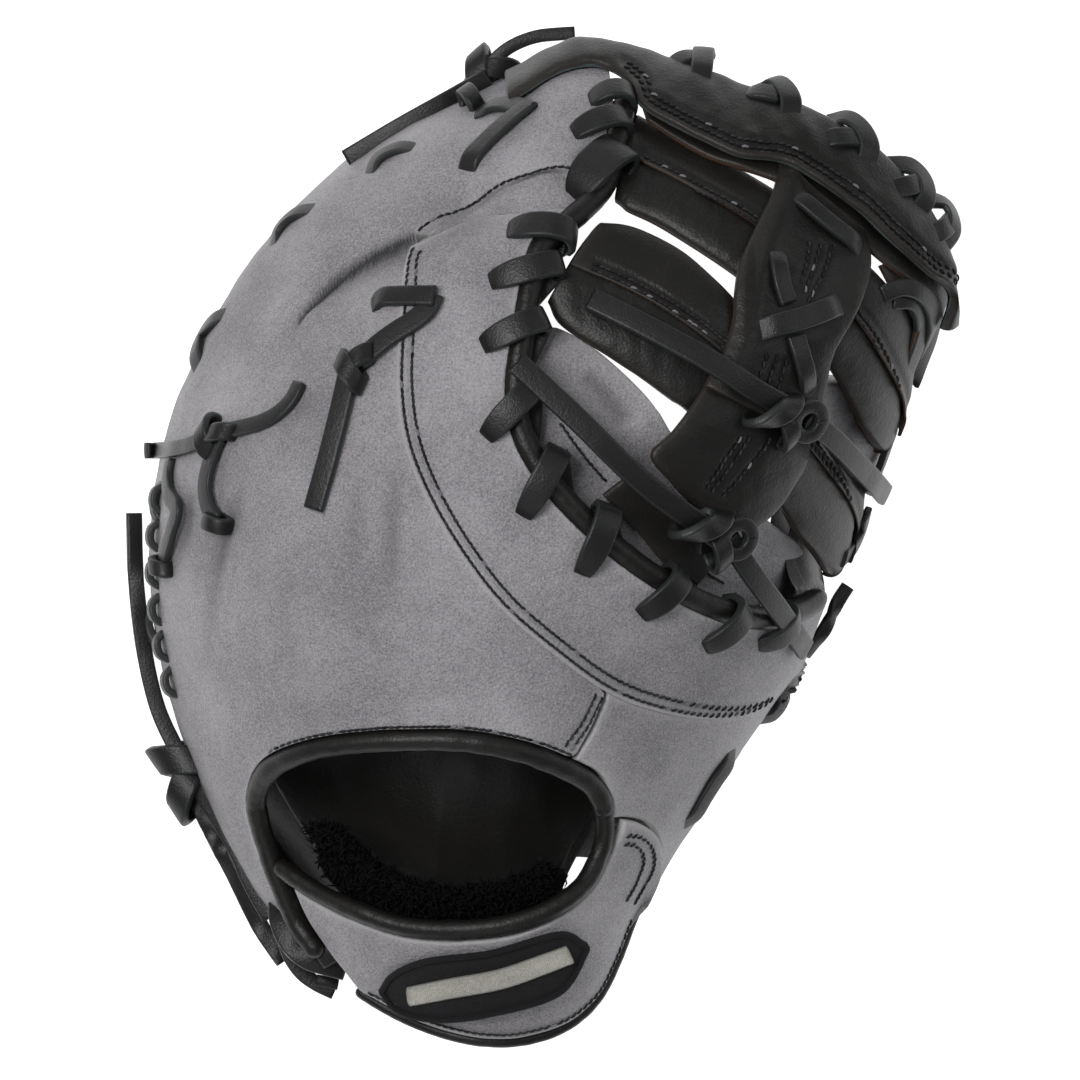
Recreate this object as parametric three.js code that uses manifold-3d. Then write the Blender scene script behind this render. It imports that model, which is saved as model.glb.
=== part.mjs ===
// A first baseman's mitt for the left hand, lying palm down.
// Millimetres. +X runs towards the thumb, +Y towards the finger tips, +Z up from the surface it lies
// on.
// Plan points are [x, y] in hundredths of the mitt's width and length, from the middle of its outline.
import * as THREE from "three";
import { mergeVertices } from "three/addons/utils/BufferGeometryUtils.js";
import Module from "manifold-3d";

const wasm = await Module();
wasm.setup();

// Driving dimensions of the whole mitt.
const mitt_width = 230;
const mitt_length = 288;
const crown_height = 100;
const clearance = 0.35;

// Leather, padding and lace.
const shell_leather = 2.8;
const palm_padding = 6.5;
const lining_leather = 1.4;
const web_leather = 5.2;
const post_leather = 3.2;
const band_leather = 3.6;
const base_leather = 2.6;
const tab_leather = 2.2;
const palm_gap = 1.3;
const lining_gap = 0.8;
const patch_felt = 1.2;
const fleece_pile = 7;
const binding_diameter = 5.6;
const heel_binding_diameter = 3.4;
const crotch_welt_diameter = 6.4;
const lace_width = 6;
const lace_thickness = 2.2;

// Rooms for the hand, as drops of the palm below the back.
const hand_room = 40;
const finger_room = 24;
const thumb_room = 22;
const heel_room = 46;

// How far the origin, which is the middle of the whole outline with its laces, lies from the plan's
// middle.
const origin_x = -0.48;
const origin_y = 0.93;

const plan = ([a, b]) => new THREE.Vector2((a / 100) * mitt_width, (b / 100) * mitt_length);

// The outline seen from above, the height of its rim and how steeply the back falls to it.
// Columns: x, y, rim as a share of the crown height, fall (0.5 ends upright, 1 ends sloping).
const OUTLINE = [
  [-11.1, -49.8, 0.46, 0.8],
  [-0.8, -49.6, 0.43, 0.76],
  [6.0, -46.0, 0.34, 0.68],
  [11.6, -36.5, 0.18, 0.58],
  [17.4, -28.3, 0.09, 0.52],
  [24.3, -19.7, 0.06, 0.5],
  [31.5, -11.3, 0.04, 0.5],
  [36.1, -4.3, 0, 0.5],
  [40.3, 4.1, 0.03, 0.5],
  [44.3, 12.0, 0.09, 0.5],
  [48.3, 20.4, 0.2, 0.55],
  [50.2, 27.3, 0.32, 0.65],
  [43.8, 37.2, 0.42, 0.8],
  [34.5, 42.6, 0.44, 0.86],
  [23.4, 46.0, 0.38, 0.82],
  [12.2, 49.2, 0.25, 0.7],
  [3.5, 50.2, 0.12, 0.58],
  [-4.5, 47.2, 0.03, 0.5],
  [-13.8, 44.3, 0, 0.5],
  [-25.0, 38.9, 0, 0.5],
  [-34.9, 31.0, 0.03, 0.5],
  [-42.9, 21.3, 0.05, 0.5],
  [-47.9, 11.5, 0.07, 0.5],
  [-49.9, 1.6, 0.08, 0.5],
  [-49.3, -9.3, 0.07, 0.5],
  [-46.0, -19.2, 0.07, 0.5],
  [-40.5, -29.5, 0.1, 0.53],
  [-33.0, -38.4, 0.18, 0.6],
  [-25.0, -44.9, 0.34, 0.7],
];
const CROWN_POINT = plan([-10.1, 4.5]);
const CROWN_ROUNDNESS = 2.3;

// Ridges and creases of the back: two ends in plan, rise in hundredths of the crown height, width of
// the mitt's width.
const FOLDS = [
  [[4.8, 36.6], [-9.4, 33.3], -6, 3.4],
  [[-9.4, 33.3], [-25.0, 26.7], -6, 3.4],
  [[-25.0, 26.7], [-33.0, 17.4], -3, 4],
  [[-6.4, 42.1], [-27.4, 28.3], 4, 9],
  [[-27.4, 12.5], [-31.2, -7.3], 2.5, 10],
  [[6.0, 32.7], [-10.1, 29.2], 2, 5],
  [[18.4, -14.2], [11.0, -25.1], 2, 7],
];

// Where the hand lies, as capsules in plan: two ends, radius in hundredths of the width, room.
const ROOMS = [
  [[-27.4, -35.0], [-10.1, -1.4], 24, hand_room],
  [[-3.9, -35.0], [-10.1, -5.3], 24, hand_room],
  [[-18.8, -45.8], [-6.4, -44.9], 19, heel_room],
  [[-16.3, 2.6], [-27.4, 28.3], 17, finger_room],
  [[-12.6, 2.6], [-7.6, 37.2], 13, finger_room],
  [[1.1, -31.0], [22.1, -13.2], 11, thumb_room],
];

// Where the palm is tucked under the web's ends along the thumb's edge, as one such capsule.
const TUCK = [[39.2, 14.4], [33.5, 0.1], 6.5, web_leather + 2 * clearance + 1.1];

// Where no back leather covers the palm, between the ends of the web's bars: it comes out to the rim.
const BARED = [[43.4, 8.3], [41.4, 3.8], 3.6, 1.5 * shell_leather];

function periodic(knots, values) {
  const n = knots.length;
  const turn = 2 * Math.PI;
  const at = (i) => knots[((i % n) + n) % n] + turn * Math.floor(i / n);
  const value = (i) => values[((i % n) + n) % n];
  const slope = (i) => (value(i + 1) - value(i - 1)) / (at(i + 1) - at(i - 1));
  return (angle) => {
    let a = angle;
    while (a < knots[0]) a += turn;
    while (a >= knots[0] + turn) a -= turn;
    let i = 0;
    while (a >= at(i + 1)) i += 1;
    const span = at(i + 1) - at(i);
    const s = (a - at(i)) / span;
    const s2 = s * s;
    const s3 = s2 * s;
    return (
      (2 * s3 - 3 * s2 + 1) * value(i) +
      (s3 - 2 * s2 + s) * span * slope(i) +
      (3 * s2 - 2 * s3) * value(i + 1) +
      (s3 - s2) * span * slope(i + 1)
    );
  };
}

const spokes = OUTLINE.map(([a, b, rim, fall]) => {
  const p = plan([a, b]).sub(CROWN_POINT);
  return { angle: p.angle(), reach: p.length(), rim, fall };
}).sort((p, q) => p.angle - q.angle);
const angles = spokes.map((s) => s.angle);
const reach = periodic(angles, spokes.map((s) => s.reach));
const rim = periodic(angles, spokes.map((s) => s.rim));
const fall = periodic(angles, spokes.map((s) => s.fall));
const EDGE = 0.9995;

function toSegment(x, y, from, to) {
  const a = plan(from);
  const along = plan(to).sub(a);
  const p = new THREE.Vector2(x, y).sub(a);
  const s = THREE.MathUtils.clamp(p.dot(along) / along.lengthSq(), 0, 1);
  return p.sub(along.multiplyScalar(s)).length();
}

function folds(x, y) {
  return FOLDS.reduce((sum, [from, to, rise, width]) => {
    const d = toSegment(x, y, from, to) / ((width / 100) * mitt_width);
    return sum + (rise / 100) * crown_height * Math.exp(-d * d);
  }, 0);
}

// Height of the back's outer face over the plan.
function height(x, y) {
  const p = new THREE.Vector2(x, y).sub(CROWN_POINT);
  const angle = p.angle();
  const t = Math.min(p.length() / reach(angle), EDGE);
  const low = Math.max(rim(angle), 0);
  const lift = Math.pow(1 - Math.pow(t, CROWN_ROUNDNESS), fall(angle));
  return crown_height * (low + (1 - low) * lift) + folds(x, y) * (1 - Math.pow(t, 8));
}

function capsule(x, y, [from, to, radius, depth]) {
  const d = toSegment(x, y, from, to) / ((radius / 100) * mitt_width);
  return d < 1 ? depth * Math.pow(1 - Math.pow(d, 3), 0.8) : 0;
}

// The hand's room under the back, which lets the palm down.
const room = (x, y) => Math.max(...ROOMS.map((one) => capsule(x, y, one)));

function normal(x, y) {
  const step = 0.4;
  const inside = (u, v) => {
    const p = new THREE.Vector2(u, v).sub(CROWN_POINT);
    const limit = reach(p.angle()) * EDGE;
    if (p.length() > limit) p.setLength(limit);
    return p.add(CROWN_POINT);
  };
  const west = inside(x - step, y);
  const east = inside(x + step, y);
  const south = inside(x, y - step);
  const north = inside(x, y + step);
  const on_back = (p) => new THREE.Vector3(p.x, p.y, height(p.x, p.y));
  const eastward = on_back(east).sub(on_back(west));
  const northward = on_back(north).sub(on_back(south));
  return eastward.cross(northward).normalize();
}

// A point h outside the back's outer face, or inside it where h is negative.
function place(x, y, h) {
  const up = normal(x, y);
  return new THREE.Vector3(x, y, height(x, y)).addScaledVector(up, h);
}

// Curves in plan, each a function of the share of its length.
function by_length(points) {
  const curve = new THREE.SplineCurve(points);
  curve.arcLengthDivisions = 400;
  return (u) => curve.getPointAt(THREE.MathUtils.clamp(u, 0, 1));
}
const through = (...points) => by_length(points.map(plan));
const sampled = (curve, steps) => Array.from({ length: steps + 1 }, (_, i) => curve(i / steps));
const joined = (...curves) => by_length(curves.flatMap((curve) => sampled(curve, 24)));

// The share of a curve's length at which it passes nearest to a plan point.
function share_near(curve, at) {
  const spots = sampled(curve, 400).map((p) => p.distanceTo(plan(at)));
  return spots.indexOf(Math.min(...spots)) / 400;
}

// A curve a distance to the left of another one, measured over the back, along a stretch that may run
// backwards.
function beside(curve, distance, from = 0, to = 1) {
  const points = Array.from({ length: 41 }, (_, i) => {
    const u = THREE.MathUtils.lerp(from, to, i / 40);
    const p = curve(u);
    const along = curve(u + 0.01).sub(curve(u - 0.01)).normalize();
    const left = new THREE.Vector2(-along.y, along.x);
    const over = (s) => {
      const q = p.clone().addScaledVector(left, s);
      return place(q.x, q.y, 0).distanceTo(place(p.x, p.y, 0));
    };
    let offset = distance;
    for (let k = 0; k < 6; k += 1) offset *= Math.abs(distance) / over(offset);
    return p.clone().addScaledVector(left, offset);
  });
  return by_length(points);
}

// The rim past the given plan points, a share t of the way out from the crown.
function along_rim(t, ...past) {
  const bearings = past.map((p) => plan(p).sub(CROWN_POINT).angle());
  for (let i = 1; i < bearings.length; i += 1) {
    while (bearings[i] - bearings[i - 1] > Math.PI) bearings[i] -= 2 * Math.PI;
    while (bearings[i] - bearings[i - 1] < -Math.PI) bearings[i] += 2 * Math.PI;
  }
  const first = bearings[0];
  const last = bearings[bearings.length - 1];
  const points = Array.from({ length: 61 }, (_, i) => {
    const angle = THREE.MathUtils.lerp(first, last, i / 60);
    const spoke = new THREE.Vector2(Math.cos(angle), Math.sin(angle));
    return spoke.multiplyScalar(reach(angle) * t).add(CROWN_POINT);
  });
  return by_length(points);
}

// A four-sided stretch of plan between two long edges, near(u) and far(u). Its ends follow start(v) and
// end(v),
// which are drawn out to meet the long edges' corners.
function field(near, far, start, end) {
  const bow = (side, from, to) => {
    if (!side) return () => new THREE.Vector2();
    const drawn = from.distanceTo(to) / side(0).distanceTo(side(1));
    return (v) => side(v).sub(side(0).lerp(side(1), v)).multiplyScalar(drawn);
  };
  const first = bow(start, near(0), far(0));
  const last = bow(end, near(1), far(1));
  return (u, v) => near(u).lerp(far(u), v).add(first(v).lerp(last(v), u));
}

function signed_volume(positions, faces) {
  const corner = (i) => new THREE.Vector3().fromArray(positions, 3 * i);
  let sum = 0;
  for (let i = 0; i < faces.length; i += 3) {
    sum += corner(faces[i]).dot(corner(faces[i + 1]).cross(corner(faces[i + 2])));
  }
  return sum / 6;
}

function solid_of(geometry) {
  const bare = geometry.clone();
  bare.deleteAttribute("normal");
  bare.deleteAttribute("uv");
  const merged = mergeVertices(bare, 1e-4);
  return new wasm.Manifold(
    new wasm.Mesh({
      numProp: 3,
      vertProperties: new Float32Array(merged.attributes.position.array),
      triVerts: new Uint32Array(merged.index.array),
    }),
  );
}

// A solid from corners and faces, turned so that its faces point out.
function closed(positions, faces) {
  const outward = signed_volume(positions, faces) > 0;
  const geometry = new THREE.BufferGeometry();
  geometry.setAttribute("position", new THREE.Float32BufferAttribute(positions, 3));
  geometry.setIndex(outward ? faces : faces.map((_, i) => faces[i - (i % 3) + [0, 2, 1][i % 3]]));
  return solid_of(geometry);
}

function geometry_of(solid) {
  const mesh = solid.getMesh();
  const corners = new Float32Array(mesh.numVert * 3);
  for (let i = 0; i < mesh.numVert; i += 1) {
    corners.set(mesh.vertProperties.subarray(i * mesh.numProp, i * mesh.numProp + 3), i * 3);
  }
  const geometry = new THREE.BufferGeometry();
  geometry.setAttribute("position", new THREE.BufferAttribute(corners, 3));
  geometry.setIndex(new THREE.BufferAttribute(mesh.triVerts, 1));
  return geometry;
}

// A closed body between an upper and a lower face, both functions of u and v.
function between_faces(along, across, upper, lower, spread = (s) => s) {
  const positions = [];
  const row = across + 1;
  for (const face of [upper, lower]) {
    for (let i = 0; i <= along; i += 1) {
      for (let j = 0; j <= across; j += 1) positions.push(...face(i / along, spread(j / across)).toArray());
    }
  }
  const under = row * (along + 1);
  const faces = [];
  const quad = (a, b, c, d) => faces.push(a, b, c, a, c, d);
  for (let i = 0; i < along; i += 1) {
    for (let j = 0; j < across; j += 1) {
      const k = i * row + j;
      quad(k, k + row, k + row + 1, k + 1);
      quad(under + k, under + k + 1, under + k + row + 1, under + k + row);
    }
  }
  for (let i = 0; i < along; i += 1) {
    const near = i * row;
    const far = near + across;
    quad(near, under + near, under + near + row, near + row);
    quad(far, far + row, under + far + row, under + far);
  }
  for (let j = 0; j < across; j += 1) {
    const last = along * row + j;
    quad(j, j + 1, under + j + 1, under + j);
    quad(last, under + last, under + last + 1, last + 1);
  }
  return closed(positions, faces);
}

// A sheet that follows the back, its top and bottom given as heights or as functions of u and v.
function sheet(area, along, across, top, bottom, spread) {
  const face = (h) => (u, v) => {
    const p = area(u, v);
    return place(p.x, p.y, typeof h === "function" ? h(u, v) : h);
  };
  return between_faces(along, across, face(top), face(bottom), spread);
}
const denser_first = (s) => 1 - Math.sin(((1 - s) * Math.PI) / 2);
// A strip's rounded upper face: its full thickness along the middle, less at both long edges.
const crowned = (bottom, thickness, edge) => (u, v) =>
  bottom + thickness * (edge + (1 - edge) * Math.sqrt(Math.max(0, 1 - Math.pow(Math.abs(2 * v - 1), 3))));

// A closed body swept along centres, its section given as [sideways, upwards] corners.
function sweep({ centres, ups }, section) {
  const positions = [];
  const count = section.length;
  centres.forEach((centre, i) => {
    const ahead = centres[Math.min(i + 1, centres.length - 1)];
    const behind = centres[Math.max(i - 1, 0)];
    const tangent = ahead.clone().sub(behind).normalize();
    const side = tangent.clone().cross(ups[i]).normalize();
    const up = side.clone().cross(tangent).normalize();
    section.forEach(([s, h]) =>
      positions.push(...centre.clone().addScaledVector(side, s).addScaledVector(up, h).toArray()),
    );
  });
  const faces = [];
  for (let i = 0; i + 1 < centres.length; i += 1) {
    for (let j = 0; j < count; j += 1) {
      const a = i * count + j;
      const b = i * count + ((j + 1) % count);
      faces.push(a, b, b + count, a, b + count, a + count);
    }
  }
  const last = (centres.length - 1) * count;
  for (let j = 1; j + 1 < count; j += 1) {
    faces.push(0, j + 1, j);
    faces.push(last, last + j, last + j + 1);
  }
  return closed(positions, faces);
}
const flat = (width, thickness) => [
  [-width / 2, -thickness / 2],
  [width / 2, -thickness / 2],
  [width / 2, thickness / 2],
  [-width / 2, thickness / 2],
];
const round = (diameter, sides) =>
  Array.from({ length: sides }, (_, i) => {
    const angle = (2 * Math.PI * (i + 0.5)) / sides;
    return [(Math.cos(angle) * diameter) / 2, (Math.sin(angle) * diameter) / 2];
  });

// Pieces in the order in which they are fitted: each is cut clear of those of an earlier rank.
const LACE = 0;
const EDGING = 1;
const SHEET = 2;
const pieces = [];
const add = (name, finish, rank, solid, cutter = solid) => pieces.push({ name, finish, rank, solid, cutter });

// Laces lie flat along a route of [x, y, height over the back], and rest on the floor at the lowest.
const lowest = lace_width / 2 + clearance;
function route(points, steps) {
  const curve = new THREE.CatmullRomCurve3(
    points.map(([a, b, h]) => {
      const p = plan([a, b]);
      return new THREE.Vector3(p.x, p.y, h);
    }),
    false,
    "centripetal",
  );
  const spots = Array.from({ length: steps + 1 }, (_, i) => curve.getPointAt(i / steps));
  const centres = spots.map((s) => {
    const centre = place(s.x, s.y, s.z);
    return centre.setZ(Math.max(centre.z, lowest));
  });
  return { centres, ups: spots.map((s) => normal(s.x, s.y)) };
}
const lace_along = (run, extra = 0) => sweep(run, flat(lace_width + 2 * extra, lace_thickness + 2 * extra));
function add_lace(name, points, steps) {
  const run = route(points, steps);
  add(name, "black_lace", LACE, lace_along(run), lace_along(run, clearance));
}

// A knot: a lace bound once round a route, a share of the way along it.
function binding_turn({ centres, ups }, share, extra) {
  const i = Math.round(share * (centres.length - 1));
  const ahead = centres[Math.min(i + 1, centres.length - 1)];
  const behind = centres[Math.max(i - 1, 0)];
  const tangent = ahead.clone().sub(behind).normalize();
  const side = tangent.clone().cross(ups[i]).normalize();
  const up = side.clone().cross(tangent).normalize();
  const half = lace_width * 0.42 + extra;
  const middle = centres[i].clone().addScaledVector(up, 0.8);
  const ends = [-half, half].map((s) => middle.clone().addScaledVector(tangent, s));
  return sweep({ centres: ends, ups: [up, up] }, round(lace_width * 1.45 + 2 * extra, 6));
}
function add_knot(name, tails, knots) {
  const made = (extra) => {
    const runs = tails.map(([steps, ...points]) => route(points, steps));
    const bodies = runs.map((run) => lace_along(run, extra));
    const turns = knots.map(([tail, share]) => binding_turn(runs[tail], share, extra));
    return [...bodies, ...turns].reduce((sum, part) => sum.add(part));
  };
  add(name, "black_lace", LACE, made(0), made(clearance));
}

// A lace wound round an edge through a row of slots. Turns: [share of the edge, slant in mm].
// Section: how far the slots lie inward of the edge, how far the lace reaches outward, up and down from
// the
// middle, and the share of its rise that is left at its outer shoulder.
function add_winding(name, edge, length, turns, { inward, outward, up, down, middle, shoulder }) {
  const CORNERS = [
    [-1, 0, 0, 0],
    [-0.86, 0.86, 0, 0],
    [0, 1, 0.5, 0],
    [0.86, shoulder, 1, 0],
    [1, 0, 1, 0],
    [0.86, -0.86, 1, 0.1],
    [0, -1, 1, 0.5],
    [-0.86, -0.86, 1, 1],
  ];
  const frame_at = (u) => {
    const p = edge(u);
    const ahead = edge(u + 0.01);
    const behind = edge(u - 0.01);
    const over = normal(p.x, p.y);
    const tangent = place(ahead.x, ahead.y, 0).sub(place(behind.x, behind.y, 0)).normalize();
    return { p, over, out: over.clone().cross(tangent).normalize() };
  };
  const run = { centres: [], ups: [] };
  turns.forEach(([share, slant], k) => {
    const next = turns[Math.min(k + 1, turns.length - 1)][0];
    CORNERS.forEach(([across, lift, slanted, advanced], i) => {
      if (k === turns.length - 1 && i > 5) return;
      const over_end = share + slant / length;
      const u = THREE.MathUtils.lerp(share + (slanted * slant) / length, next, advanced);
      const { p, over, out } = frame_at(advanced === 0 && slanted === 1 ? over_end : u);
      const sideways = across * (across > 0 ? outward : inward);
      const upwards = lift * (lift > 0 ? up : down);
      run.centres.push(place(p.x, p.y, middle).addScaledVector(out, sideways).addScaledVector(over, upwards));
      run.ups.push(out.clone().multiplyScalar(across).addScaledVector(over, lift).normalize());
    });
  });
  const slots = turns.map(([share]) => {
    const { p, over, out } = frame_at(share);
    const centre = place(p.x, p.y, middle).addScaledVector(out, -0.93 * inward);
    const heights = [up + lace_thickness, -down - lace_thickness];
    const ends = heights.map((h) => centre.clone().addScaledVector(over, h));
    const across = lace_thickness + 0.14 * inward + 3 * clearance;
    const along = lace_width + 6 * clearance;
    return sweep({ centres: ends, ups: [out, out] }, flat(along, across));
  });
  const cutter = slots.reduce((sum, slot) => sum.add(slot), lace_along(run, clearance));
  add(name, "black_lace", LACE, lace_along(run), cutter);
}

// The crotch's edge, where the web is laced in: a rolled welt from the finger tip round to the thumb
// tip.
const crotch = through(
  [9.2, 44.9],
  [8.5, 41.9],
  [7.4, 38.6],
  [5.8, 35.4],
  [1.8, 32.0],
  [-1.3, 29.4],
  [-2.7, 25.3],
  [-3.5, 20.8],
  [-4.4, 15.9],
  [-3.8, 11.5],
  [-1.1, 7.2],
  [3.2, 3.3],
  [8.7, -0.7],
  [14.7, -4.0],
  [20.4, -6.2],
  [25.8, -7.3],
  [30.8, -6.8],
  [34.4, -5.1],
);
const crotch_at = (at) => share_near(crotch, at);
const welt_depth = -shell_leather - 0.5;
const welt_side = crotch_welt_diameter / 2 + 2 * clearance;

// The hand opening's bound edges: one along the back, one along the strap.
const opening = through(
  [-28.2, -40.3],
  [-31.2, -37.5],
  [-33.1, -34.6],
  [-35.1, -31.2],
  [-36.6, -27.6],
  [-36.9, -24.7],
  [-34.9, -22.0],
  [-29.9, -20.3],
  [-23.7, -19.5],
  [-17.5, -19.2],
  [-10.7, -19.3],
  [-3.9, -20.3],
  [1.3, -21.7],
  [5.0, -23.3],
  [6.9, -25.2],
);
const strap_edge = through(
  [-32.3, -29.6],
  [-31.2, -31.8],
  [-28.4, -34.2],
  [-24.5, -36.3],
  [-18.8, -37.6],
  [-12.6, -38.0],
  [-5.8, -37.5],
  [0.1, -36.0],
  [4.3, -33.6],
  [6.8, -30.7],
  [7.5, -28.3],
  [7.4, -26.5],
);
const binding_side = binding_diameter / 2 + 2 * clearance;
const binding_depth = -shell_leather / 2;
const heel_edge = along_rim(0.985, [-24.7, -44.9], [-11.3, -49.8], [13.7, -33.4]);
const heel_side = heel_binding_diameter / 2 + 2 * clearance;

// Back of the hand and fingers, one piece from the pinky edge to the crotch.
const panel_seam = through(
  [-17.0, 29.5],
  [-17.9, 27.2],
  [-18.5, 21.3],
  [-18.8, 15.4],
  [-17.8, 9.9],
  [-15.1, 4.4],
  [-11.1, -0.9],
  [-6.3, -5.8],
  [-0.1, -10.2],
  [6.9, -14.1],
  [13.4, -16.1],
  [20.3, -16.9],
  [26.2, -15.8],
  [30.9, -12.2],
);
const back_inner = joined(
  beside(opening, binding_side, 0.02, share_near(opening, [1.8, -21.9])),
  through([3.0, -20.6], [4.8, -18.0], [6.6, -14.6]),
  beside(panel_seam, -clearance, share_near(panel_seam, [6.0, -13.7]), 0.004),
  through([-17.0, 30.2], [-13.8, 31.8], [-9.4, 33.4], [-3.7, 36.2], [0.6, 37.0], [2.9, 36.0]),
  beside(crotch, -welt_side, crotch_at([5.0, 34.7]), 0.015),
);
const back_area = field(along_rim(1, [-32.8, -38.6], [-49.8, 1.6], [6.5, 49.8]), back_inner);
add(
  "back_panel",
  "grey_leather",
  SHEET,
  sheet(back_area, 40, 6, 0, -shell_leather, denser_first),
);

// Curved panel beside the crotch, sewn on with two rows of stitches.
const crotch_panel_end = crotch_at([34.0, -5.3]);
add(
  "crotch_panel",
  "grey_leather",
  SHEET,
  sheet(
    field(
      beside(panel_seam, clearance, 0.004, 1),
      beside(crotch, -welt_side, crotch_at([2.5, 32.6]), crotch_panel_end),
      through([-17.0, 29.5], [-13.8, 31.1], [-9.4, 32.7], [-3.9, 33.7], [1.1, 33.5]),
    ),
    22,
    4,
    0,
    -shell_leather,
  ),
);

// Outer side of the thumb, and the seam between it and the strap.
const thumb_seam = through([9.2, -27.1], [11.2, -28.4], [13.2, -30.6], [14.2, -33.2]);
add(
  "thumb_panel",
  "grey_leather",
  SHEET,
  sheet(
    field(
      beside(panel_seam, -clearance, share_near(panel_seam, [7.6, -14.4]), 1),
      joined(
        through([3.5, -20.8], [6.1, -21.8], [8.6, -24.5], [9.2, -26.3]),
        beside(thumb_seam, clearance),
      ),
      undefined,
      along_rim(EDGE, [31.0, -12.5], [14.9, -33.0]),
    ),
    10,
    7,
    0,
    -shell_leather,
  ),
);

// Wrist strap over the hand's way in, with its patch and the fleece under it.
const strap_end = beside(thumb_seam, -clearance, 0.08, 0.98);
const strap_span = [[-28.4, -34.2], [7.0, -30.0]].map((at) => share_near(strap_edge, at));
const strap_top = beside(strap_edge, -binding_side, ...strap_span);
add(
  "wrist_strap",
  "grey_leather",
  SHEET,
  sheet(
    field(
      by_length([...sampled(strap_top, 24), strap_end(0)]),
      beside(heel_edge, heel_side, 0.01, 0.99),
      through([-28.9, -36.4], [-27.0, -40.1], [-25.0, -43.7]),
      strap_end,
    ),
    18,
    4,
    0,
    -shell_leather,
  ),
);
add(
  "strap_patch",
  "black_felt",
  SHEET,
  sheet(
    field(
      through([-20.6, -43.4], [-16.3, -40.7], [-7.6, -39.7], [0.4, -37.9], [3.8, -38.9]),
      through([-20.6, -43.9], [-15.7, -46.4], [-7.6, -45.8], [0.4, -43.9], [3.8, -39.9]),
    ),
    8,
    3,
    2 * clearance + patch_felt,
    2 * clearance,
  ),
);
add(
  "strap_fleece",
  "black_fleece",
  SHEET,
  sheet(
    field(
      through(
        [-32.2, -28.5], [-28.1, -29.2], [-23.1, -32.6], [-17.5, -34.4], [-10.1, -34.8],
        [-2.7, -33.6], [0.6, -31.8],
      ),
      through(
        [-29.7, -33.4], [-25.6, -36.8], [-20.0, -39.1], [-12.6, -39.9], [-5.1, -39.3],
        [1.1, -36.5], [3.8, -33.0],
      ),
    ),
    10,
    2,
    crowned(-shell_leather - palm_gap - fleece_pile, fleece_pile, 0.4),
    -shell_leather - palm_gap - fleece_pile,
  ),
);

// Rolled edgings: tubes along a curve, a depth under the back's outer face.
function add_edging(name, curve, depth, diameter, steps, sides) {
  const spots = sampled(curve, steps);
  const run = { centres: spots.map((p) => place(p.x, p.y, depth)), ups: spots.map((p) => normal(p.x, p.y)) };
  const cutter = sweep(run, round(diameter + 2 * clearance, sides));
  add(name, "black_leather", EDGING, sweep(run, round(diameter, sides)), cutter);
}
add_edging("opening_binding", opening, binding_depth, binding_diameter, 22, 6);
add_edging("strap_binding", strap_edge, binding_depth, binding_diameter, 18, 6);
add_edging("heel_binding", heel_edge, binding_depth, heel_binding_diameter, 14, 6);
add_edging("crotch_welt", crotch, welt_depth, crotch_welt_diameter, 30, 6);

// Palm: one padded piece that meets the back along the rim, drops away to make room for the hand
// and is flattened where it rests.
const palm_under = (x, y) => shell_leather + palm_gap + capsule(x, y, TUCK) - capsule(x, y, BARED);
function palm_point(x, y, depth) {
  const drop = room(x, y);
  const p = place(x, y, -(palm_under(x, y) + depth));
  return p.setZ(Math.max(p.z - drop, depth > 0 ? 0 : palm_padding));
}
const palm_outer = joined(
  along_rim(1, [6.5, 49.8], [-49.8, 1.6], [-33.0, -38.4]),
  through(
    [-31.2, -40.1], [-25.6, -43.4], [-18.8, -45.7], [-11.3, -46.0], [-5.8, -44.9],
    [-1.9, -40.4], [-0.4, -35.2], [1.8, -31.8], [5.5, -31.2], [9.7, -32.4],
  ),
  along_rim(1, [13.7, -33.2], [36.4, -4.3], [45.8, 14.4]),
);
const palm_inner = joined(
  beside(crotch, -welt_side, 0.01, 0.965),
  through(
    [33.4, -7.1], [34.0, -5.5], [34.0, -2.9], [33.8, 0.1], [34.0, 3.4], [34.8, 6.5],
    [35.5, 9.5], [34.9, 12.5], [35.3, 14.8],
  ),
);
const palm_area = field(palm_outer, palm_inner);
const on_palm = (depth) => (u, v) => {
  const p = palm_area(u, v);
  return palm_point(p.x, p.y, depth);
};
const PALM_STEPS = [48, 6];
add(
  "palm",
  "grey_leather",
  SHEET,
  between_faces(...PALM_STEPS, on_palm(0), on_palm(palm_padding), denser_first),
);

// Lining under the hand: it lies on a stretch of the palm, from one pair of the palm's steps to
// another.
const LINED = [
  [21, 2],
  [38, 5],
];
const lined = LINED[1].map((to, i) => to - LINED[0][i]);
const on_lining = (lift) => (u, v) => {
  const step = [u, v].map((s, i) => (LINED[0][i] + s * lined[i]) / PALM_STEPS[i]);
  const p = on_palm(0)(step[0], denser_first(step[1]));
  return p.setZ(p.z + lining_gap + lift);
};
add("palm_lining", "black_leather", SHEET, between_faces(...lined, on_lining(lining_leather), on_lining(0)));

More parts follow.
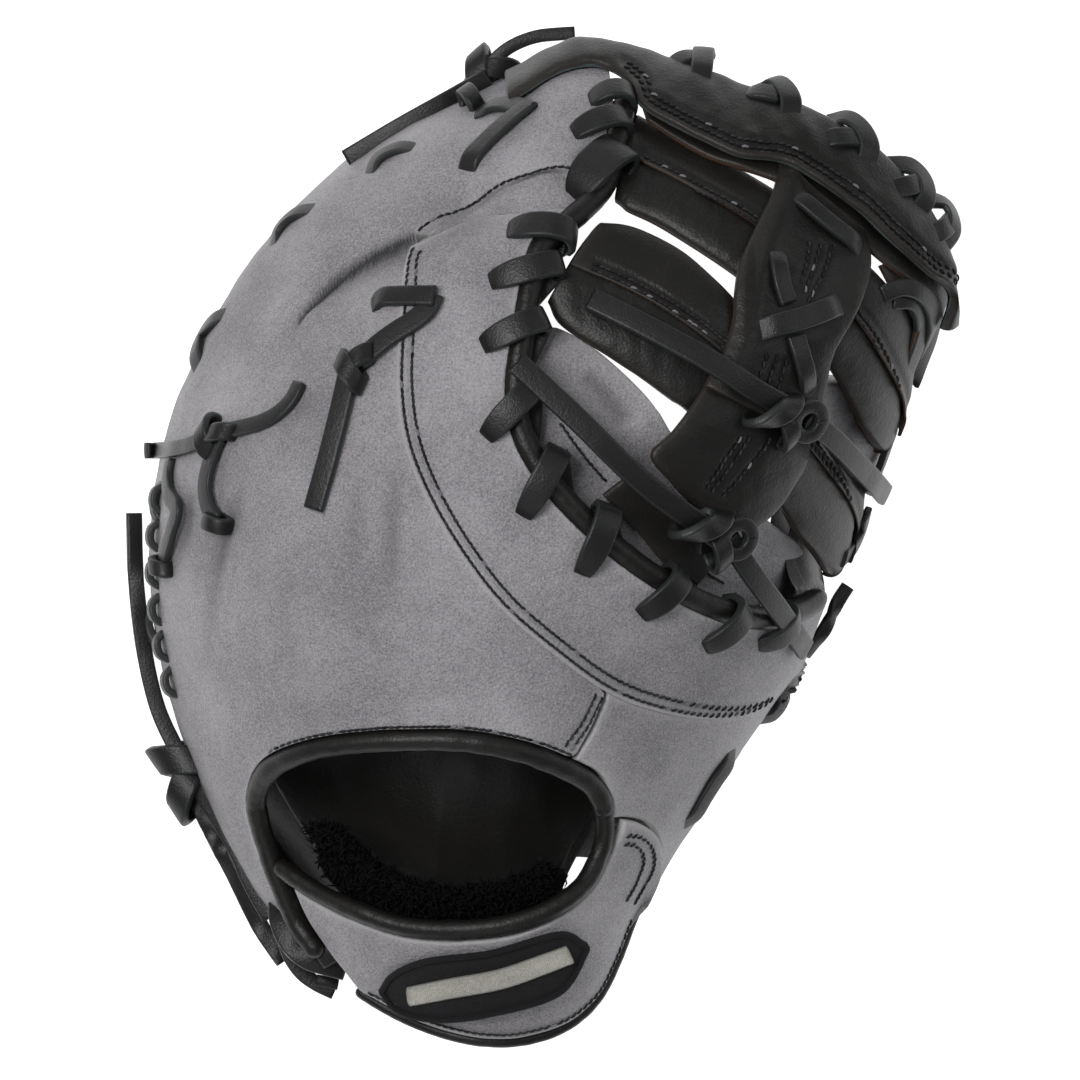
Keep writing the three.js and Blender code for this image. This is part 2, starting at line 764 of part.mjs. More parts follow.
// Web: a padded band along the top, two bars, a post and its foot, and a base panel with a tab.
const bar_bottom = -9.2;
const post_bottom = bar_bottom + web_leather + 2 * clearance;
const base_bottom = bar_bottom - base_leather - 3 * clearance;
const band_rim = along_rim(0.98, [-4.6, 47.0], [23.4, 46.0], [46.2, 16.4]);
const bar_lift = 3.6;
const bar_base = (u) => bar_bottom + bar_lift * THREE.MathUtils.smoothstep(u, 0.72, 1);
const on_bar = (u, v) => bar_base(u) + crowned(0, web_leather, 0.35)(u, v);
add(
  "web_band",
  "black_leather",
  SHEET,
  sheet(
    field(
      band_rim,
      through(
        [-4.3, 43.7], [0.4, 45.5], [4.8, 46.2], [8.5, 45.3], [10.5, 43.3], [14.4, 41.7],
        [19.1, 40.0], [26.1, 37.8], [32.3, 35.0], [39.2, 31.1], [43.8, 28.1], [47.1, 25.7],
        [47.9, 23.7], [46.9, 20.8], [45.7, 17.6],
      ),
    ),
    22,
    3,
    crowned(2 * clearance, band_leather, 0.5),
    2 * clearance,
  ),
);
add(
  "web_bar_outer",
  "black_leather",
  SHEET,
  sheet(
    field(
      through(
        [10.6, 42.6], [18.4, 39.1], [26.8, 35.3], [33.3, 31.6], [39.7, 27.1], [43.2, 24.5],
        [45.4, 21.8], [46.2, 19.4], [45.7, 16.8], [44.9, 14.4], [43.8, 12.1],
      ),
      through(
        [7.2, 34.6], [14.7, 31.0], [22.7, 26.8], [27.7, 23.3], [32.3, 19.9], [35.3, 17.2],
        [37.0, 14.6], [38.5, 12.0], [40.0, 10.1], [41.2, 9.3],
      ),
    ),
    12,
    3,
    on_bar,
    bar_base,
  ),
);
add(
  "web_bar_inner",
  "black_leather",
  SHEET,
  sheet(
    field(
      through(
        [5.9, 31.7], [11.1, 30.9], [16.9, 28.4], [23.0, 23.7], [27.7, 18.4], [32.3, 11.5],
        [37.0, 8.0], [39.7, 5.5], [39.5, 3.6], [38.5, 1.6], [37.4, -0.2],
      ),
      through(
        [-0.4, 24.1], [1.3, 21.7], [7.2, 18.6], [12.2, 15.9], [17.2, 12.8], [23.4, 8.0],
        [28.9, 3.6], [30.8, 1.1], [33.0, -1.1], [34.3, -2.4], [35.3, -3.4],
      ),
    ),
    12,
    3,
    on_bar,
    bar_base,
  ),
);
add(
  "web_post",
  "black_leather",
  SHEET,
  sheet(
    field(
      through(
        [28.3, 38.1], [27.4, 35.3], [25.3, 31.7], [23.4, 28.1], [22.7, 25.3], [22.5, 22.3],
        [21.4, 19.4], [19.9, 17.2], [18.9, 15.7],
      ),
      through(
        [39.1, 31.2], [39.8, 29.0], [39.6, 26.5], [38.5, 23.7], [37.1, 21.4], [35.3, 18.7],
        [34.5, 16.2], [33.8, 13.2], [32.7, 10.2],
      ),
    ),
    9,
    4,
    crowned(post_bottom, post_leather, 0.55),
    post_bottom,
  ),
);
add(
  "web_post_foot",
  "black_leather",
  SHEET,
  sheet(
    field(
      through([18.6, 15.4], [17.2, 13.0], [15.1, 10.8], [12.5, 8.8], [15.1, 6.0], [17.7, 3.9]),
      through([32.4, 9.8], [31.9, 7.6], [30.5, 5.4], [28.8, 3.6], [27.2, 2.5], [25.0, 0.9]),
    ),
    8,
    3,
    crowned(post_bottom, post_leather, 0.55),
    post_bottom,
  ),
);
add(
  "web_base_panel",
  "grey_leather",
  SHEET,
  sheet(
    field(
      through(
        [-0.8, 19.9], [0.9, 21.7], [3.4, 20.8], [5.8, 19.4], [10.2, 16.2], [12.3, 14.3],
        [15.1, 11.0], [18.4, 7.0], [22.7, 4.5], [27.4, 2.5], [30.3, 0.7], [32.4, -0.7],
        [33.1, -2.0], [32.5, -3.1],
      ),
      beside(crotch, 1.6 * welt_side, crotch_at([-3.7, 19.4]), crotch_at([30.5, -6.7])),
    ),
    18,
    3,
    base_bottom + base_leather,
    base_bottom,
  ),
);
add(
  "web_base_tab",
  "black_leather",
  SHEET,
  sheet(
    field(
      through([10.3, 6.9], [14.1, 3.9], [17.8, 0.9], [21.1, -1.7]),
      through([6.4, 4.7], [11.0, 1.1], [14.9, -1.7], [18.8, -4.2]),
    ),
    5,
    2,
    base_bottom + base_leather + 2 * clearance + tab_leather,
    base_bottom + base_leather + 2 * clearance,
  ),
);

// Windings of the crotch and of the band's edge.
const CROTCH_TURNS = [
  [0.02, 2],
  [0.065, 2],
  [0.125, -7],
  [0.225, -6],
  [0.29, -6],
  [0.37, -8],
  [0.465, -8],
  [0.565, -7],
  [0.66, -4],
  [0.765, 5],
  [0.85, 6],
  [0.925, 4],
];
add_winding("crotch_lace", crotch, mitt_length * 0.75, CROTCH_TURNS, {
  inward: 9.4,
  outward: 5.6,
  up: 6.2,
  down: 9.4,
  middle: -4,
  shoulder: 0.86,
});
const BAND_TURNS = [
  [0.27, 5],
  [0.39, 5],
  [0.51, 5],
  [0.62, 5],
  [0.72, 5],
  [0.81, 4],
];
add_winding("band_lace", band_rim, mitt_length * 0.68, BAND_TURNS, {
  inward: 10,
  outward: 2.2,
  up: 4.4,
  down: 4,
  middle: 2.4,
  shoulder: 0.4,
});

// Flat laces of the post.
const on_post = post_bottom + post_leather + 2 * clearance + lace_thickness / 2;
const arched = 1.4;
add_lace("post_lace_top", [[30.2, 34.5, on_post], [34.0, 31.6, on_post + arched], [37.9, 29.4, on_post]], 4);
add_lace("post_lace_left", [[27.6, 28.5, on_post], [27.9, 25.9, on_post + arched], [28.8, 23.9, on_post]], 3);
add_lace(
  "post_lace_middle",
  [[25.5, 21.0, on_post], [30.8, 22.2, on_post + arched], [35.9, 23.9, on_post]],
  5,
);
add_lace("post_lace_low", [[30.3, 19.4, on_post], [30.8, 17.4, on_post + arched], [31.8, 15.6, on_post]], 3);

// Lace runs that show on the back.
const on_back = 2 * clearance + lace_thickness / 2;
const lace_sink = 0.5;
const RUNS = [
  ["finger_lace_a", [-22.6, 37.0], [-20.3, 38.6], [-16.7, 39.3]],
  ["finger_lace_b", [-34.6, 29.7], [-32.7, 32.0], [-29.7, 33.5]],
  ["finger_lace_c", [-44.1, 17.8], [-43.2, 20.7], [-40.7, 23.1]],
  ["pinky_lace_a", [-48.3, 6.5], [-48.8, 4.3], [-48.9, 2.2]],
  ["pinky_lace_b", [-49.8, -5.9], [-49.4, -8.1], [-48.8, -10.3]],
  ["thumb_lace_a", [22.6, -20.2], [19.4, -23.7], [16.4, -27.9]],
  ["thumb_lace_b", [29.1, -14.2], [27.8, -15.8], [26.3, -17.4]],
];
RUNS.forEach(([name, [a, b], [c, d], [e, f]]) =>
  add_lace(name, [[a, b, on_back - lace_sink], [c, d, on_back], [e, f, on_back - lace_sink]], 4),
);
add_lace(
  "finger_lace_d",
  [
    [-11.5, 37.0, on_back], [-8.2, 39.6, on_back + 1], [-3.9, 42.7, on_back + 1],
    [-6.6, 43.8, on_back + 1.2], [-9.1, 42.9, on_back],
  ],
  8,
);

// Knots with their tails. Tails: [steps, points]. Knots: [tail, share of its length].
const knotted = on_back + 2.2;
add_knot(
  "tip_knot",
  [[
    12, [-25.7, 38.1, on_back], [-18.8, 42.1, on_back], [-12.6, 44.3, knotted],
    [-7.9, 45.7, knotted], [-3.9, 47.2, knotted + 1], [2.3, 49.0, knotted + 1],
  ]],
  [[0, 0.62]],
);
add_knot(
  "back_knot",
  [
    [
      14,
      [-22.2, 24.1, on_back],
      [-18.5, 24.3, on_back + 1.2],
      [-14.8, 23.7, on_back + 1.4],
      [-16.8, 21.5, on_back + 1.2],
      [-20.8, 19.4, knotted - 0.5],
      [-24.2, 17.0, knotted],
      [-26.0, 12.9, knotted],
      [-27.4, 8.5, on_back + 0.6],
      [-29.2, 3.8, on_back],
    ],
  ],
  [[0, 0.53]],
);
add_knot(
  "pinky_knot",
  [
    [
      9, [-49.5, 9.3, on_back], [-45.4, 9.6, on_back + 0.6], [-40.3, 10.9, knotted],
      [-35.1, 12.1, knotted], [-32.2, 13.4, knotted], [-30.7, 15.6, knotted],
    ],
    [6, [-40.3, 10.9, knotted], [-41.3, 7.7, knotted], [-41.9, 4.7, knotted], [-41.1, 2.2, knotted]],
  ],
  [
    [0, 0.44],
    [1, 0.84],
  ],
);
add_knot(
  "side_knot",
  [[
    7, [-46.8, 8.3, on_back], [-47.0, 5.5, on_back + 0.6], [-45.8, 3.8, on_back + 1],
    [-46.8, 0.6, on_back + 1], [-47.5, -2.0, on_back + 1],
  ]],
  [[0, 0.86]],
);
add_knot(
  "wrist_knot",
  [
    [
      14,
      [-49.6, 2.2, 6.4],
      [-49.4, -3.4, 6],
      [-48.6, -9.3, 6],
      [-46.8, -15.2, 6],
      [-44.5, -22.1, 5],
      [-40.8, -28.1, 4.6],
      [-37.9, -32.4, 4.6],
      [-34.6, -36.2, 4.6],
      [-31.7, -39.9, 5],
    ],
  ],
  [[0, 0.56]],
);
add_knot(
  "strap_knot",
  [[5, [-32.9, -35.6, 6.6], [-30.7, -38.7, 7], [-28.2, -41.1, 5], [-24.7, -42.1, on_back - lace_sink]]],
  [[0, 0.6]],
);

// Long laces that lie over the web, each with its knot.
const over_winding = 7.4;
add_knot(
  "web_knot_low",
  [
    [
      12,
      [-3.9, 17.2, over_winding],
      [2.9, 12.5, over_winding],
      [11.0, 6.5, over_winding],
      [20.4, 1.0, over_winding],
      [23.6, -2.4, over_winding],
      [27.1, -5.9, over_winding],
      [30.0, -9.3, on_back + 1],
    ],
  ],
  [[0, 0.65]],
);
add_knot(
  "web_knot_high",
  [
    [
      12,
      [5.0, 24.3, -0.4],
      [11.0, 21.7, 1.4],
      [18.4, 18.4, 3.6],
      [24.6, 15.4, 3.8],
      [30.3, 13.0, 3.8],
      [33.9, 10.7, 3.6],
      [37.2, 8.3, 2.6],
      [40.5, 5.7, 2],
    ],
  ],
  [[0, 0.66]],
);

// Laces that whip the web's ends to the thumb's edge.
add_lace(
  "thumb_tip_lace",
  [[35.3, -5.1, on_back + 3], [33.5, -8.7, on_back], [30.8, -11.7, on_back - 2 * lace_sink]],
  4,
);
add_lace(
  "bar_lace_inner",
  [[36.5, -1.4, on_back - 1.4], [38.5, 0.6, on_back - 1], [39.7, 3.4, on_back - 1.4]],
  4,
);
add_lace(
  "bar_lace_outer",
  [[40.2, 4.9, on_back - 4.6], [41.4, 7.3, on_back - 4.2], [42.4, 9.7, on_back - 4.6]],
  4,
);
add_lace("band_end_lace", [[48.1, 21.3, 1], [46.9, 19.2, -1], [44.7, 17.2, -1], [42.9, 19.4, -1]], 6);

const FINISHES = {
  grey_leather: { color: 0x86858a, roughness: 0.68 },
  black_leather: { color: 0x1b1b1b, roughness: 0.5 },
  black_lace: { color: 0x232524, roughness: 0.55 },
  black_felt: { color: 0x121212, roughness: 0.9 },
  black_fleece: { color: 0x0d0d0d, roughness: 1 },
};
const finishes = {};
for (const [name, look] of Object.entries(FINISHES)) {
  finishes[name] = new THREE.MeshStandardMaterial({ ...look, metalness: 0 });
}

// Each piece is cut clear of those of an earlier rank, and keeps its largest body.
function fitted(piece) {
  const cutters = pieces.filter((other) => other.rank < piece.rank);
  const cut = cutters.reduce((solid, other) => solid.subtract(other.cutter), piece.solid);
  return cut.decompose().reduce((largest, body) => (body.volume() > largest.volume() ? body : largest));
}

const mitt = new THREE.Group();
pieces.forEach((piece) => {
  const mesh = new THREE.Mesh(geometry_of(fitted(piece)), finishes[piece.finish]);
  mesh.name = piece.name;
  mitt.add(mesh);
});
mitt.position.set((-origin_x / 100) * mitt_width, (-origin_y / 100) * mitt_length, 0);
export default mitt;
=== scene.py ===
import math

import bpy
import numpy as np
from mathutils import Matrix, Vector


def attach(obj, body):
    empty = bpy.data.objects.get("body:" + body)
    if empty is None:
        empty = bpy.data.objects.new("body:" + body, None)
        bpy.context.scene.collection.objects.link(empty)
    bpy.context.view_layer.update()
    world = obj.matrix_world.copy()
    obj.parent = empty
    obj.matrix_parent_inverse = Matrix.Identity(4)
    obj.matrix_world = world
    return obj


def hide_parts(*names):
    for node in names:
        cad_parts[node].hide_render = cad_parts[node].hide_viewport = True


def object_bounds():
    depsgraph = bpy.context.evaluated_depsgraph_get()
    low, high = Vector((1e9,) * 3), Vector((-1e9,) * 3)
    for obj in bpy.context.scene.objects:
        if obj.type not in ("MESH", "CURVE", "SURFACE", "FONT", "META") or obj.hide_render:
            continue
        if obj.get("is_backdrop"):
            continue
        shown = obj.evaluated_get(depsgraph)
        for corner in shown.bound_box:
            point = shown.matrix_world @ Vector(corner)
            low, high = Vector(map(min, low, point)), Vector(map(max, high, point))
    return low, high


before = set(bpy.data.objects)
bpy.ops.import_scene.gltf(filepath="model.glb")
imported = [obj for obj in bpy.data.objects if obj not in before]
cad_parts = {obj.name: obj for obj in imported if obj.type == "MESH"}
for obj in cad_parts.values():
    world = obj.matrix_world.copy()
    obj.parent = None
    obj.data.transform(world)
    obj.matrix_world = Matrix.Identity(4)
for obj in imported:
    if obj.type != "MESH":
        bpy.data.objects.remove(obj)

cad_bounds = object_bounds()
MM = 0.001

# Camera and studio. The mitt is seen from straight above through a long lens, on a white lit table
# under one wide soft box and two weaker ones.
scene = bpy.context.scene
scene.view_settings.view_transform = "Standard"
VIEW_MIDDLE = (-2.2, -1.0)
VIEW_WIDTH = 307.6
VIEW_HEIGHT = 45.0
CAMERA_AWAY = 6000.0
camera_lens = bpy.data.cameras.new("camera")
camera_lens.sensor_fit = "HORIZONTAL"
camera_lens.sensor_width = 36.0
camera_lens.lens = camera_lens.sensor_width * CAMERA_AWAY / VIEW_WIDTH
camera_lens.clip_end = 20.0
camera = bpy.data.objects.new("camera", camera_lens)
camera.location = (VIEW_MIDDLE[0] * MM, VIEW_MIDDLE[1] * MM, (VIEW_HEIGHT + CAMERA_AWAY) * MM)
scene.collection.objects.link(camera)
scene.camera = camera


def soft_box(name, place_m, size_m, watts):
    """A square light that looks at the middle of the mitt."""
    light = bpy.data.lights.new(name, "AREA")
    light.energy = watts
    light.size = size_m
    box = bpy.data.objects.new(name, light)
    box.location = place_m
    towards = -np.array(place_m, float)
    box.rotation_euler = (
        math.atan2(math.hypot(towards[0], towards[1]), -towards[2]),
        0.0,
        math.atan2(towards[1], towards[0]) - math.pi / 2,
    )
    scene.collection.objects.link(box)


soft_box("key_light", (-0.45, 0.2, 1.1), 0.5, 9.8)
soft_box("side_light", (1.0, 0.4, 0.9), 0.8, 2.6)
soft_box("low_light", (-0.2, -1.0, 0.9), 0.8, 2.0)
soft_box("top_light", (-0.2, 1.1, 0.7), 0.5, 1.2)
scene.world = bpy.data.worlds.new("studio")
scene.world.use_nodes = True
scene.world.node_tree.nodes["Background"].inputs["Color"].default_value = (0.95, 0.97, 1.0, 1.0)
scene.world.node_tree.nodes["Background"].inputs["Strength"].default_value = 0.22

TABLE_SIZE = 6.0
table_mesh = bpy.data.meshes.new("table")
half = TABLE_SIZE / 2
table_mesh.from_pydata([(-half, -half, 0), (half, -half, 0), (half, half, 0), (-half, half, 0)], [], [(0, 1, 2, 3)])
table = bpy.data.objects.new("table", table_mesh)
scene.collection.objects.link(table)
table_paint = bpy.data.materials.new("lit_table")
table_paint.use_nodes = True
table_shader = table_paint.node_tree.nodes["Principled BSDF"]
table_shader.inputs["Base Color"].default_value = (0.6, 0.6, 0.6, 1.0)
table_shader.inputs["Roughness"].default_value = 0.9
table_shader.inputs["Emission Color"].default_value = (1.0, 1.0, 1.0, 1.0)
table_shader.inputs["Emission Strength"].default_value = 0.95
table_mesh.materials.append(table_paint)
table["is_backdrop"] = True

# Back of the hand: one piece of grey leather from the little finger's edge to the web. It lies over a dome whose
# rim, height and fall are given for each point of the mitt's outline, and which every other piece follows too.
# Columns of the outline: x, y in mm, rim as a share of the crown's height, fall (0.5 upright, 1 sloping).
CROWN_HEIGHT = 100.0
CROWN_ROUNDNESS = 2.3
CROWN = np.array((-22.1, 10.4))
OUTLINE = [
    ((-24.4, -146.1), 0.46, 0.8),
    ((-0.7, -145.5), 0.43, 0.76),
    ((14.9, -135.3), 0.34, 0.68),
    ((27.8, -107.7), 0.18, 0.58),
    ((41.1, -84.1), 0.09, 0.52),
    ((57.1, -59.3), 0.06, 0.5),
    ((73.6, -35.1), 0.04, 0.5),
    ((84.2, -15.2), 0.0, 0.5),
    ((93.9, 9.0), 0.03, 0.5),
    ((103.0, 31.8), 0.09, 0.5),
    ((112.1, 55.9), 0.2, 0.55),
    ((116.7, 75.9), 0.32, 0.65),
    ((101.9, 104.3), 0.42, 0.8),
    ((80.5, 120.0), 0.44, 0.86),
    ((54.8, 129.9), 0.38, 0.82),
    ((29.2, 139.0), 0.25, 0.7),
    ((9.2, 141.9), 0.12, 0.58),
    ((-9.3, 133.4), 0.03, 0.5),
    ((-30.7, 124.8), 0.0, 0.5),
    ((-56.3, 109.4), 0.0, 0.5),
    ((-79.1, 86.7), 0.03, 0.5),
    ((-97.7, 58.8), 0.05, 0.5),
    ((-109.1, 30.3), 0.07, 0.5),
    ((-113.6, 1.9), 0.08, 0.5),
    ((-112.2, -29.4), 0.07, 0.5),
    ((-104.8, -57.9), 0.07, 0.5),
    ((-92.0, -87.8), 0.1, 0.53),
    ((-74.9, -113.4), 0.18, 0.6),
    ((-56.3, -131.9), 0.34, 0.7),
]
# Broad ridges and creases: two ends, rise in mm, width in mm.
FOLDS = [
    ((12.1, 102.6), (-20.4, 93.2), -6.0, 7.8),
    ((-20.4, 93.2), (-56.3, 74.2), -6.0, 7.8),
    ((-56.3, 74.2), (-74.9, 47.4), -3.0, 9.2),
    ((-13.6, 118.6), (-62.0, 78.7), 4.0, 20.7),
    ((-62.0, 33.2), (-70.6, -23.7), 2.5, 23.0),
    ((14.9, 91.5), (-22.1, 81.6), 2.0, 11.5),
    ((43.4, -43.7), (26.3, -75.0), 2.0, 16.1),
]


def round_table(bearings, values, count=4096):
    """Values round the outline as a smooth closed curve, read at evenly spaced bearings."""
    knots = np.concatenate([bearings - 2 * np.pi, bearings, bearings + 2 * np.pi])
    levels = np.tile(values, 3)
    slopes = np.zeros(len(knots))
    slopes[1:-1] = (levels[2:] - levels[:-2]) / (knots[2:] - knots[:-2])
    angles = np.linspace(-np.pi, np.pi, count)
    i = np.searchsorted(knots, angles, side="right") - 1
    span = knots[i + 1] - knots[i]
    s = (angles - knots[i]) / span
    return angles, (
        (2 * s**3 - 3 * s**2 + 1) * levels[i]
        + (s**3 - 2 * s**2 + s) * span * slopes[i]
        + (3 * s**2 - 2 * s**3) * levels[i + 1]
        + (s**3 - s**2) * span * slopes[i + 1]
    )


spokes = np.array([(*np.subtract(point, CROWN), low, fall) for point, low, fall in OUTLINE])
spokes = spokes[np.argsort(np.arctan2(spokes[:, 1], spokes[:, 0]))]
bearings = np.arctan2(spokes[:, 1], spokes[:, 0])
REACH = round_table(bearings, np.hypot(spokes[:, 0], spokes[:, 1]))
RIM = round_table(bearings, spokes[:, 2])
FALL = round_table(bearings, spokes[:, 3])
EDGE = 0.9995


def read_round(table, p):
    return np.interp(np.arctan2(p[..., 1], p[..., 0]), *table)


def to_segment(p, start, end):
    start, end = np.array(start), np.array(end)
    along = end - start
    s = np.clip(((p - start) @ along) / (along @ along), 0, 1)
    return np.linalg.norm(p - start - s[..., None] * along, axis=-1)


def dome_height(p):
    q = p - CROWN
    t = np.minimum(np.linalg.norm(q, axis=-1) / read_round(REACH, q), EDGE)
    low = np.maximum(read_round(RIM, q), 0)
    lift = (1 - t**CROWN_ROUNDNESS) ** read_round(FALL, q)
    rise = sum(r * np.exp(-((to_segment(p, a, b) / w) ** 2)) for a, b, r, w in FOLDS)
    return CROWN_HEIGHT * (low + (1 - low) * lift) + rise * (1 - t**8)


def dome_point(p):
    return np.concatenate([p, dome_height(p)[..., None]], axis=-1)


def unit(v):
    return v / np.maximum(np.linalg.norm(v, axis=-1, keepdims=True), 1e-9)


def dome_normal(p, step=0.4):
    def inside(q):
        q = q - CROWN
        length = np.linalg.norm(q, axis=-1)
        limit = read_round(REACH, q) * EDGE
        return q * np.minimum(1, limit / np.maximum(length, 1e-9))[..., None] + CROWN

    east, west = (dome_point(inside(p + (s, 0))) for s in (step, -step))
    north, south = (dome_point(inside(p + (0, s))) for s in (step, -step))
    return unit(np.cross(east - west, north - south))


def place(p, h):
    """Points in mm a height h over the dome at the plan points p."""
    p = np.asarray(p, float)
    return dome_point(p) + dome_normal(p) * np.asarray(h, float)[..., None]


def lengths(points):
    steps = np.linalg.norm(np.diff(points, axis=0), axis=1)
    return np.concatenate([[0], np.cumsum(steps)])


def resample(points, count=241):
    run = lengths(points)
    at = np.linspace(0, run[-1], count)
    return np.stack([np.interp(at, run, points[:, k]) for k in range(points.shape[1])], axis=1)


def smooth(*points, count=241):
    """An evenly spaced line through the points, as a spline."""
    p = np.array(points, float)
    p = np.concatenate([[2 * p[0] - p[1]], p, [2 * p[-1] - p[-2]]])
    s = np.linspace(0, 1, 25)[:-1, None]
    spans = []
    for a, b, c, d in zip(p[:-3], p[1:-2], p[2:-1], p[3:]):
        spans.append(0.5 * (2 * b + (c - a) * s + (2 * a - 5 * b + 4 * c - d) * s**2 + (3 * b - a - 3 * c + d) * s**3))
    return resample(np.concatenate(spans + [p[-2:-1]]), count)


def share(line, point):
    return np.argmin(np.linalg.norm(line - np.array(point), axis=1)) / (len(line) - 1)


def at(line, u):
    x = np.asarray(u) * (len(line) - 1)
    return np.stack([np.interp(x, np.arange(len(line)), line[:, k]) for k in range(line.shape[1])], axis=-1)


def beside(line, distance, start=0.0, end=1.0):
    """A line a distance to the left of another, measured over the dome, along a stretch that may run backwards."""
    u = np.linspace(start, end, 241)
    p = at(line, u)
    along = unit(at(line, np.clip(u + 0.01, 0, 1)) - at(line, np.clip(u - 0.01, 0, 1)))
    left = np.stack([-along[:, 1], along[:, 0]], axis=1)
    offset = np.full(len(u), float(distance))
    for _ in range(6):
        over = np.linalg.norm(place(p + left * offset[:, None], 0) - place(p, 0), axis=1)
        offset *= abs(distance) / np.maximum(over, 1e-6)
    return resample(p + left * offset[:, None])


def rim_line(t, *past):
    """The outline past the given points, a share t of the way out from the crown."""
    bearings = np.unwrap([math.atan2(y - CROWN[1], x - CROWN[0]) for x, y in past])
    angle = np.linspace(bearings[0], bearings[-1], 361)
    spoke = np.stack([np.cos(angle), np.sin(angle)], axis=1)
    return resample(spoke * (read_round(REACH, spoke) * t)[:, None] + CROWN)


def field(near, far, start=None, end=None):
    """Plan points between two long edges. Its ends follow the lines start and end, drawn to meet the corners."""

    def bow(side, a, b):
        if side is None:
            return lambda v: 0.0
        drawn = np.linalg.norm(a - b) / np.linalg.norm(side[0] - side[-1])
        return lambda v: (at(side, v) - side[0] - (side[-1] - side[0]) * v[..., None]) * drawn

    first, last = bow(start, near[0], far[0]), bow(end, near[-1], far[-1])

    def area(u, v):
        w = v[..., None]
        s = u[..., None]
        return at(near, u) * (1 - w) + at(far, u) * w + first(v) * (1 - s) + last(v) * s

    return area


def shares(length, count):
    """Shares of a length, closer together at both ends where an edge is rounded."""
    rounded = np.array([0.0, 0.12, 0.35, 0.7, 1.2]) / length
    return np.concatenate([rounded, np.linspace(2.0 / length, 1 - 2.0 / length, count), 1 - rounded[::-1]])


def from_edges(grid):
    """How far each point of a grid lies from the grid's nearest edge."""
    across = np.linalg.norm(np.diff(grid, axis=1), axis=-1).cumsum(axis=1)
    across = np.concatenate([np.zeros((len(grid), 1)), across], axis=1)
    along = np.linalg.norm(np.diff(grid, axis=0), axis=-1).cumsum(axis=0)
    along = np.concatenate([np.zeros((1, grid.shape[1])), along], axis=0)
    return np.minimum.reduce([across, across[:, -1:] - across, along, along[-1:] - along])


def near_line(p, line, limit):
    """Distance from plan points to a line, and the share of its length there. Farther than limit counts as limit."""
    flat = p.reshape(-1, 2)
    distance = np.full(len(flat), float(limit))
    where = np.zeros(len(flat))
    low, high = line.min(axis=0) - limit, line.max(axis=0) + limit
    inside = np.nonzero(((flat > low) & (flat < high)).all(axis=1))[0]
    for part in np.array_split(inside, max(1, len(inside) // 20000)):
        gaps = np.linalg.norm(flat[part][:, None] - line[None], axis=-1)
        nearest = gaps.argmin(axis=1)
        distance[part] = np.minimum(gaps[np.arange(len(part)), nearest], limit)
        where[part] = nearest / (len(line) - 1)
    return distance.reshape(p.shape[:-1]), where.reshape(p.shape[:-1])


def pressed(p, marks):
    """Depth that lines press into a surface. Columns: line, depth in mm, half width in mm, taper at its ends."""
    depth = np.zeros(p.shape[:-1])
    for line, deep, wide, taper in marks:
        gap, where = near_line(p, line, 4 * wide)
        fade = np.minimum(1, np.minimum(where, 1 - where) / taper) if taper else 1.0
        depth += deep * fade * np.exp(-((gap / wide) ** 2))
    return depth


def ripples(p, wave, seed, count=9):
    """Soft uneven swells of the leather, about 1 at their highest, with the given mean wavelength in mm."""
    draw = np.random.default_rng(seed)
    sum_of = np.zeros(p.shape[:-1])
    for _ in range(count):
        angle, phase = draw.uniform(0, 2 * np.pi, 2)
        number = 2 * np.pi / (wave * draw.uniform(0.6, 1.7))
        sum_of += np.sin(number * (p @ np.array([math.cos(angle), math.sin(angle)])) + phase)
    return sum_of / math.sqrt(count) / 1.4


def mesh_object(name, vertices, faces, materials, face_slots=None, worn=None, painted_crease_shade=None):
    """A piece made of corners in mm and faces, with the two attributes that its leather reads: wear, and the painted
    shade of its creases.
    """
    mesh = bpy.data.meshes.new(name)
    mesh.from_pydata(np.asarray(vertices) * MM, [], [tuple(f) for f in faces])
    for material in materials:
        mesh.materials.append(material)
    if face_slots is not None:
        mesh.polygons.foreach_set("material_index", np.asarray(face_slots, dtype=np.int32))
    for label, values in (("worn", worn), ("painted_crease_shade", painted_crease_shade)):
        attribute = mesh.attributes.new(label, "FLOAT", "POINT")
        values = np.zeros(len(vertices)) if values is None else values
        attribute.data.foreach_set("value", np.asarray(values, dtype=np.float32))
    mesh.polygons.foreach_set("use_smooth", np.ones(len(mesh.polygons), dtype=bool))
    mesh.update()
    piece = bpy.data.objects.new(name, mesh)
    scene.collection.objects.link(piece)
    return piece


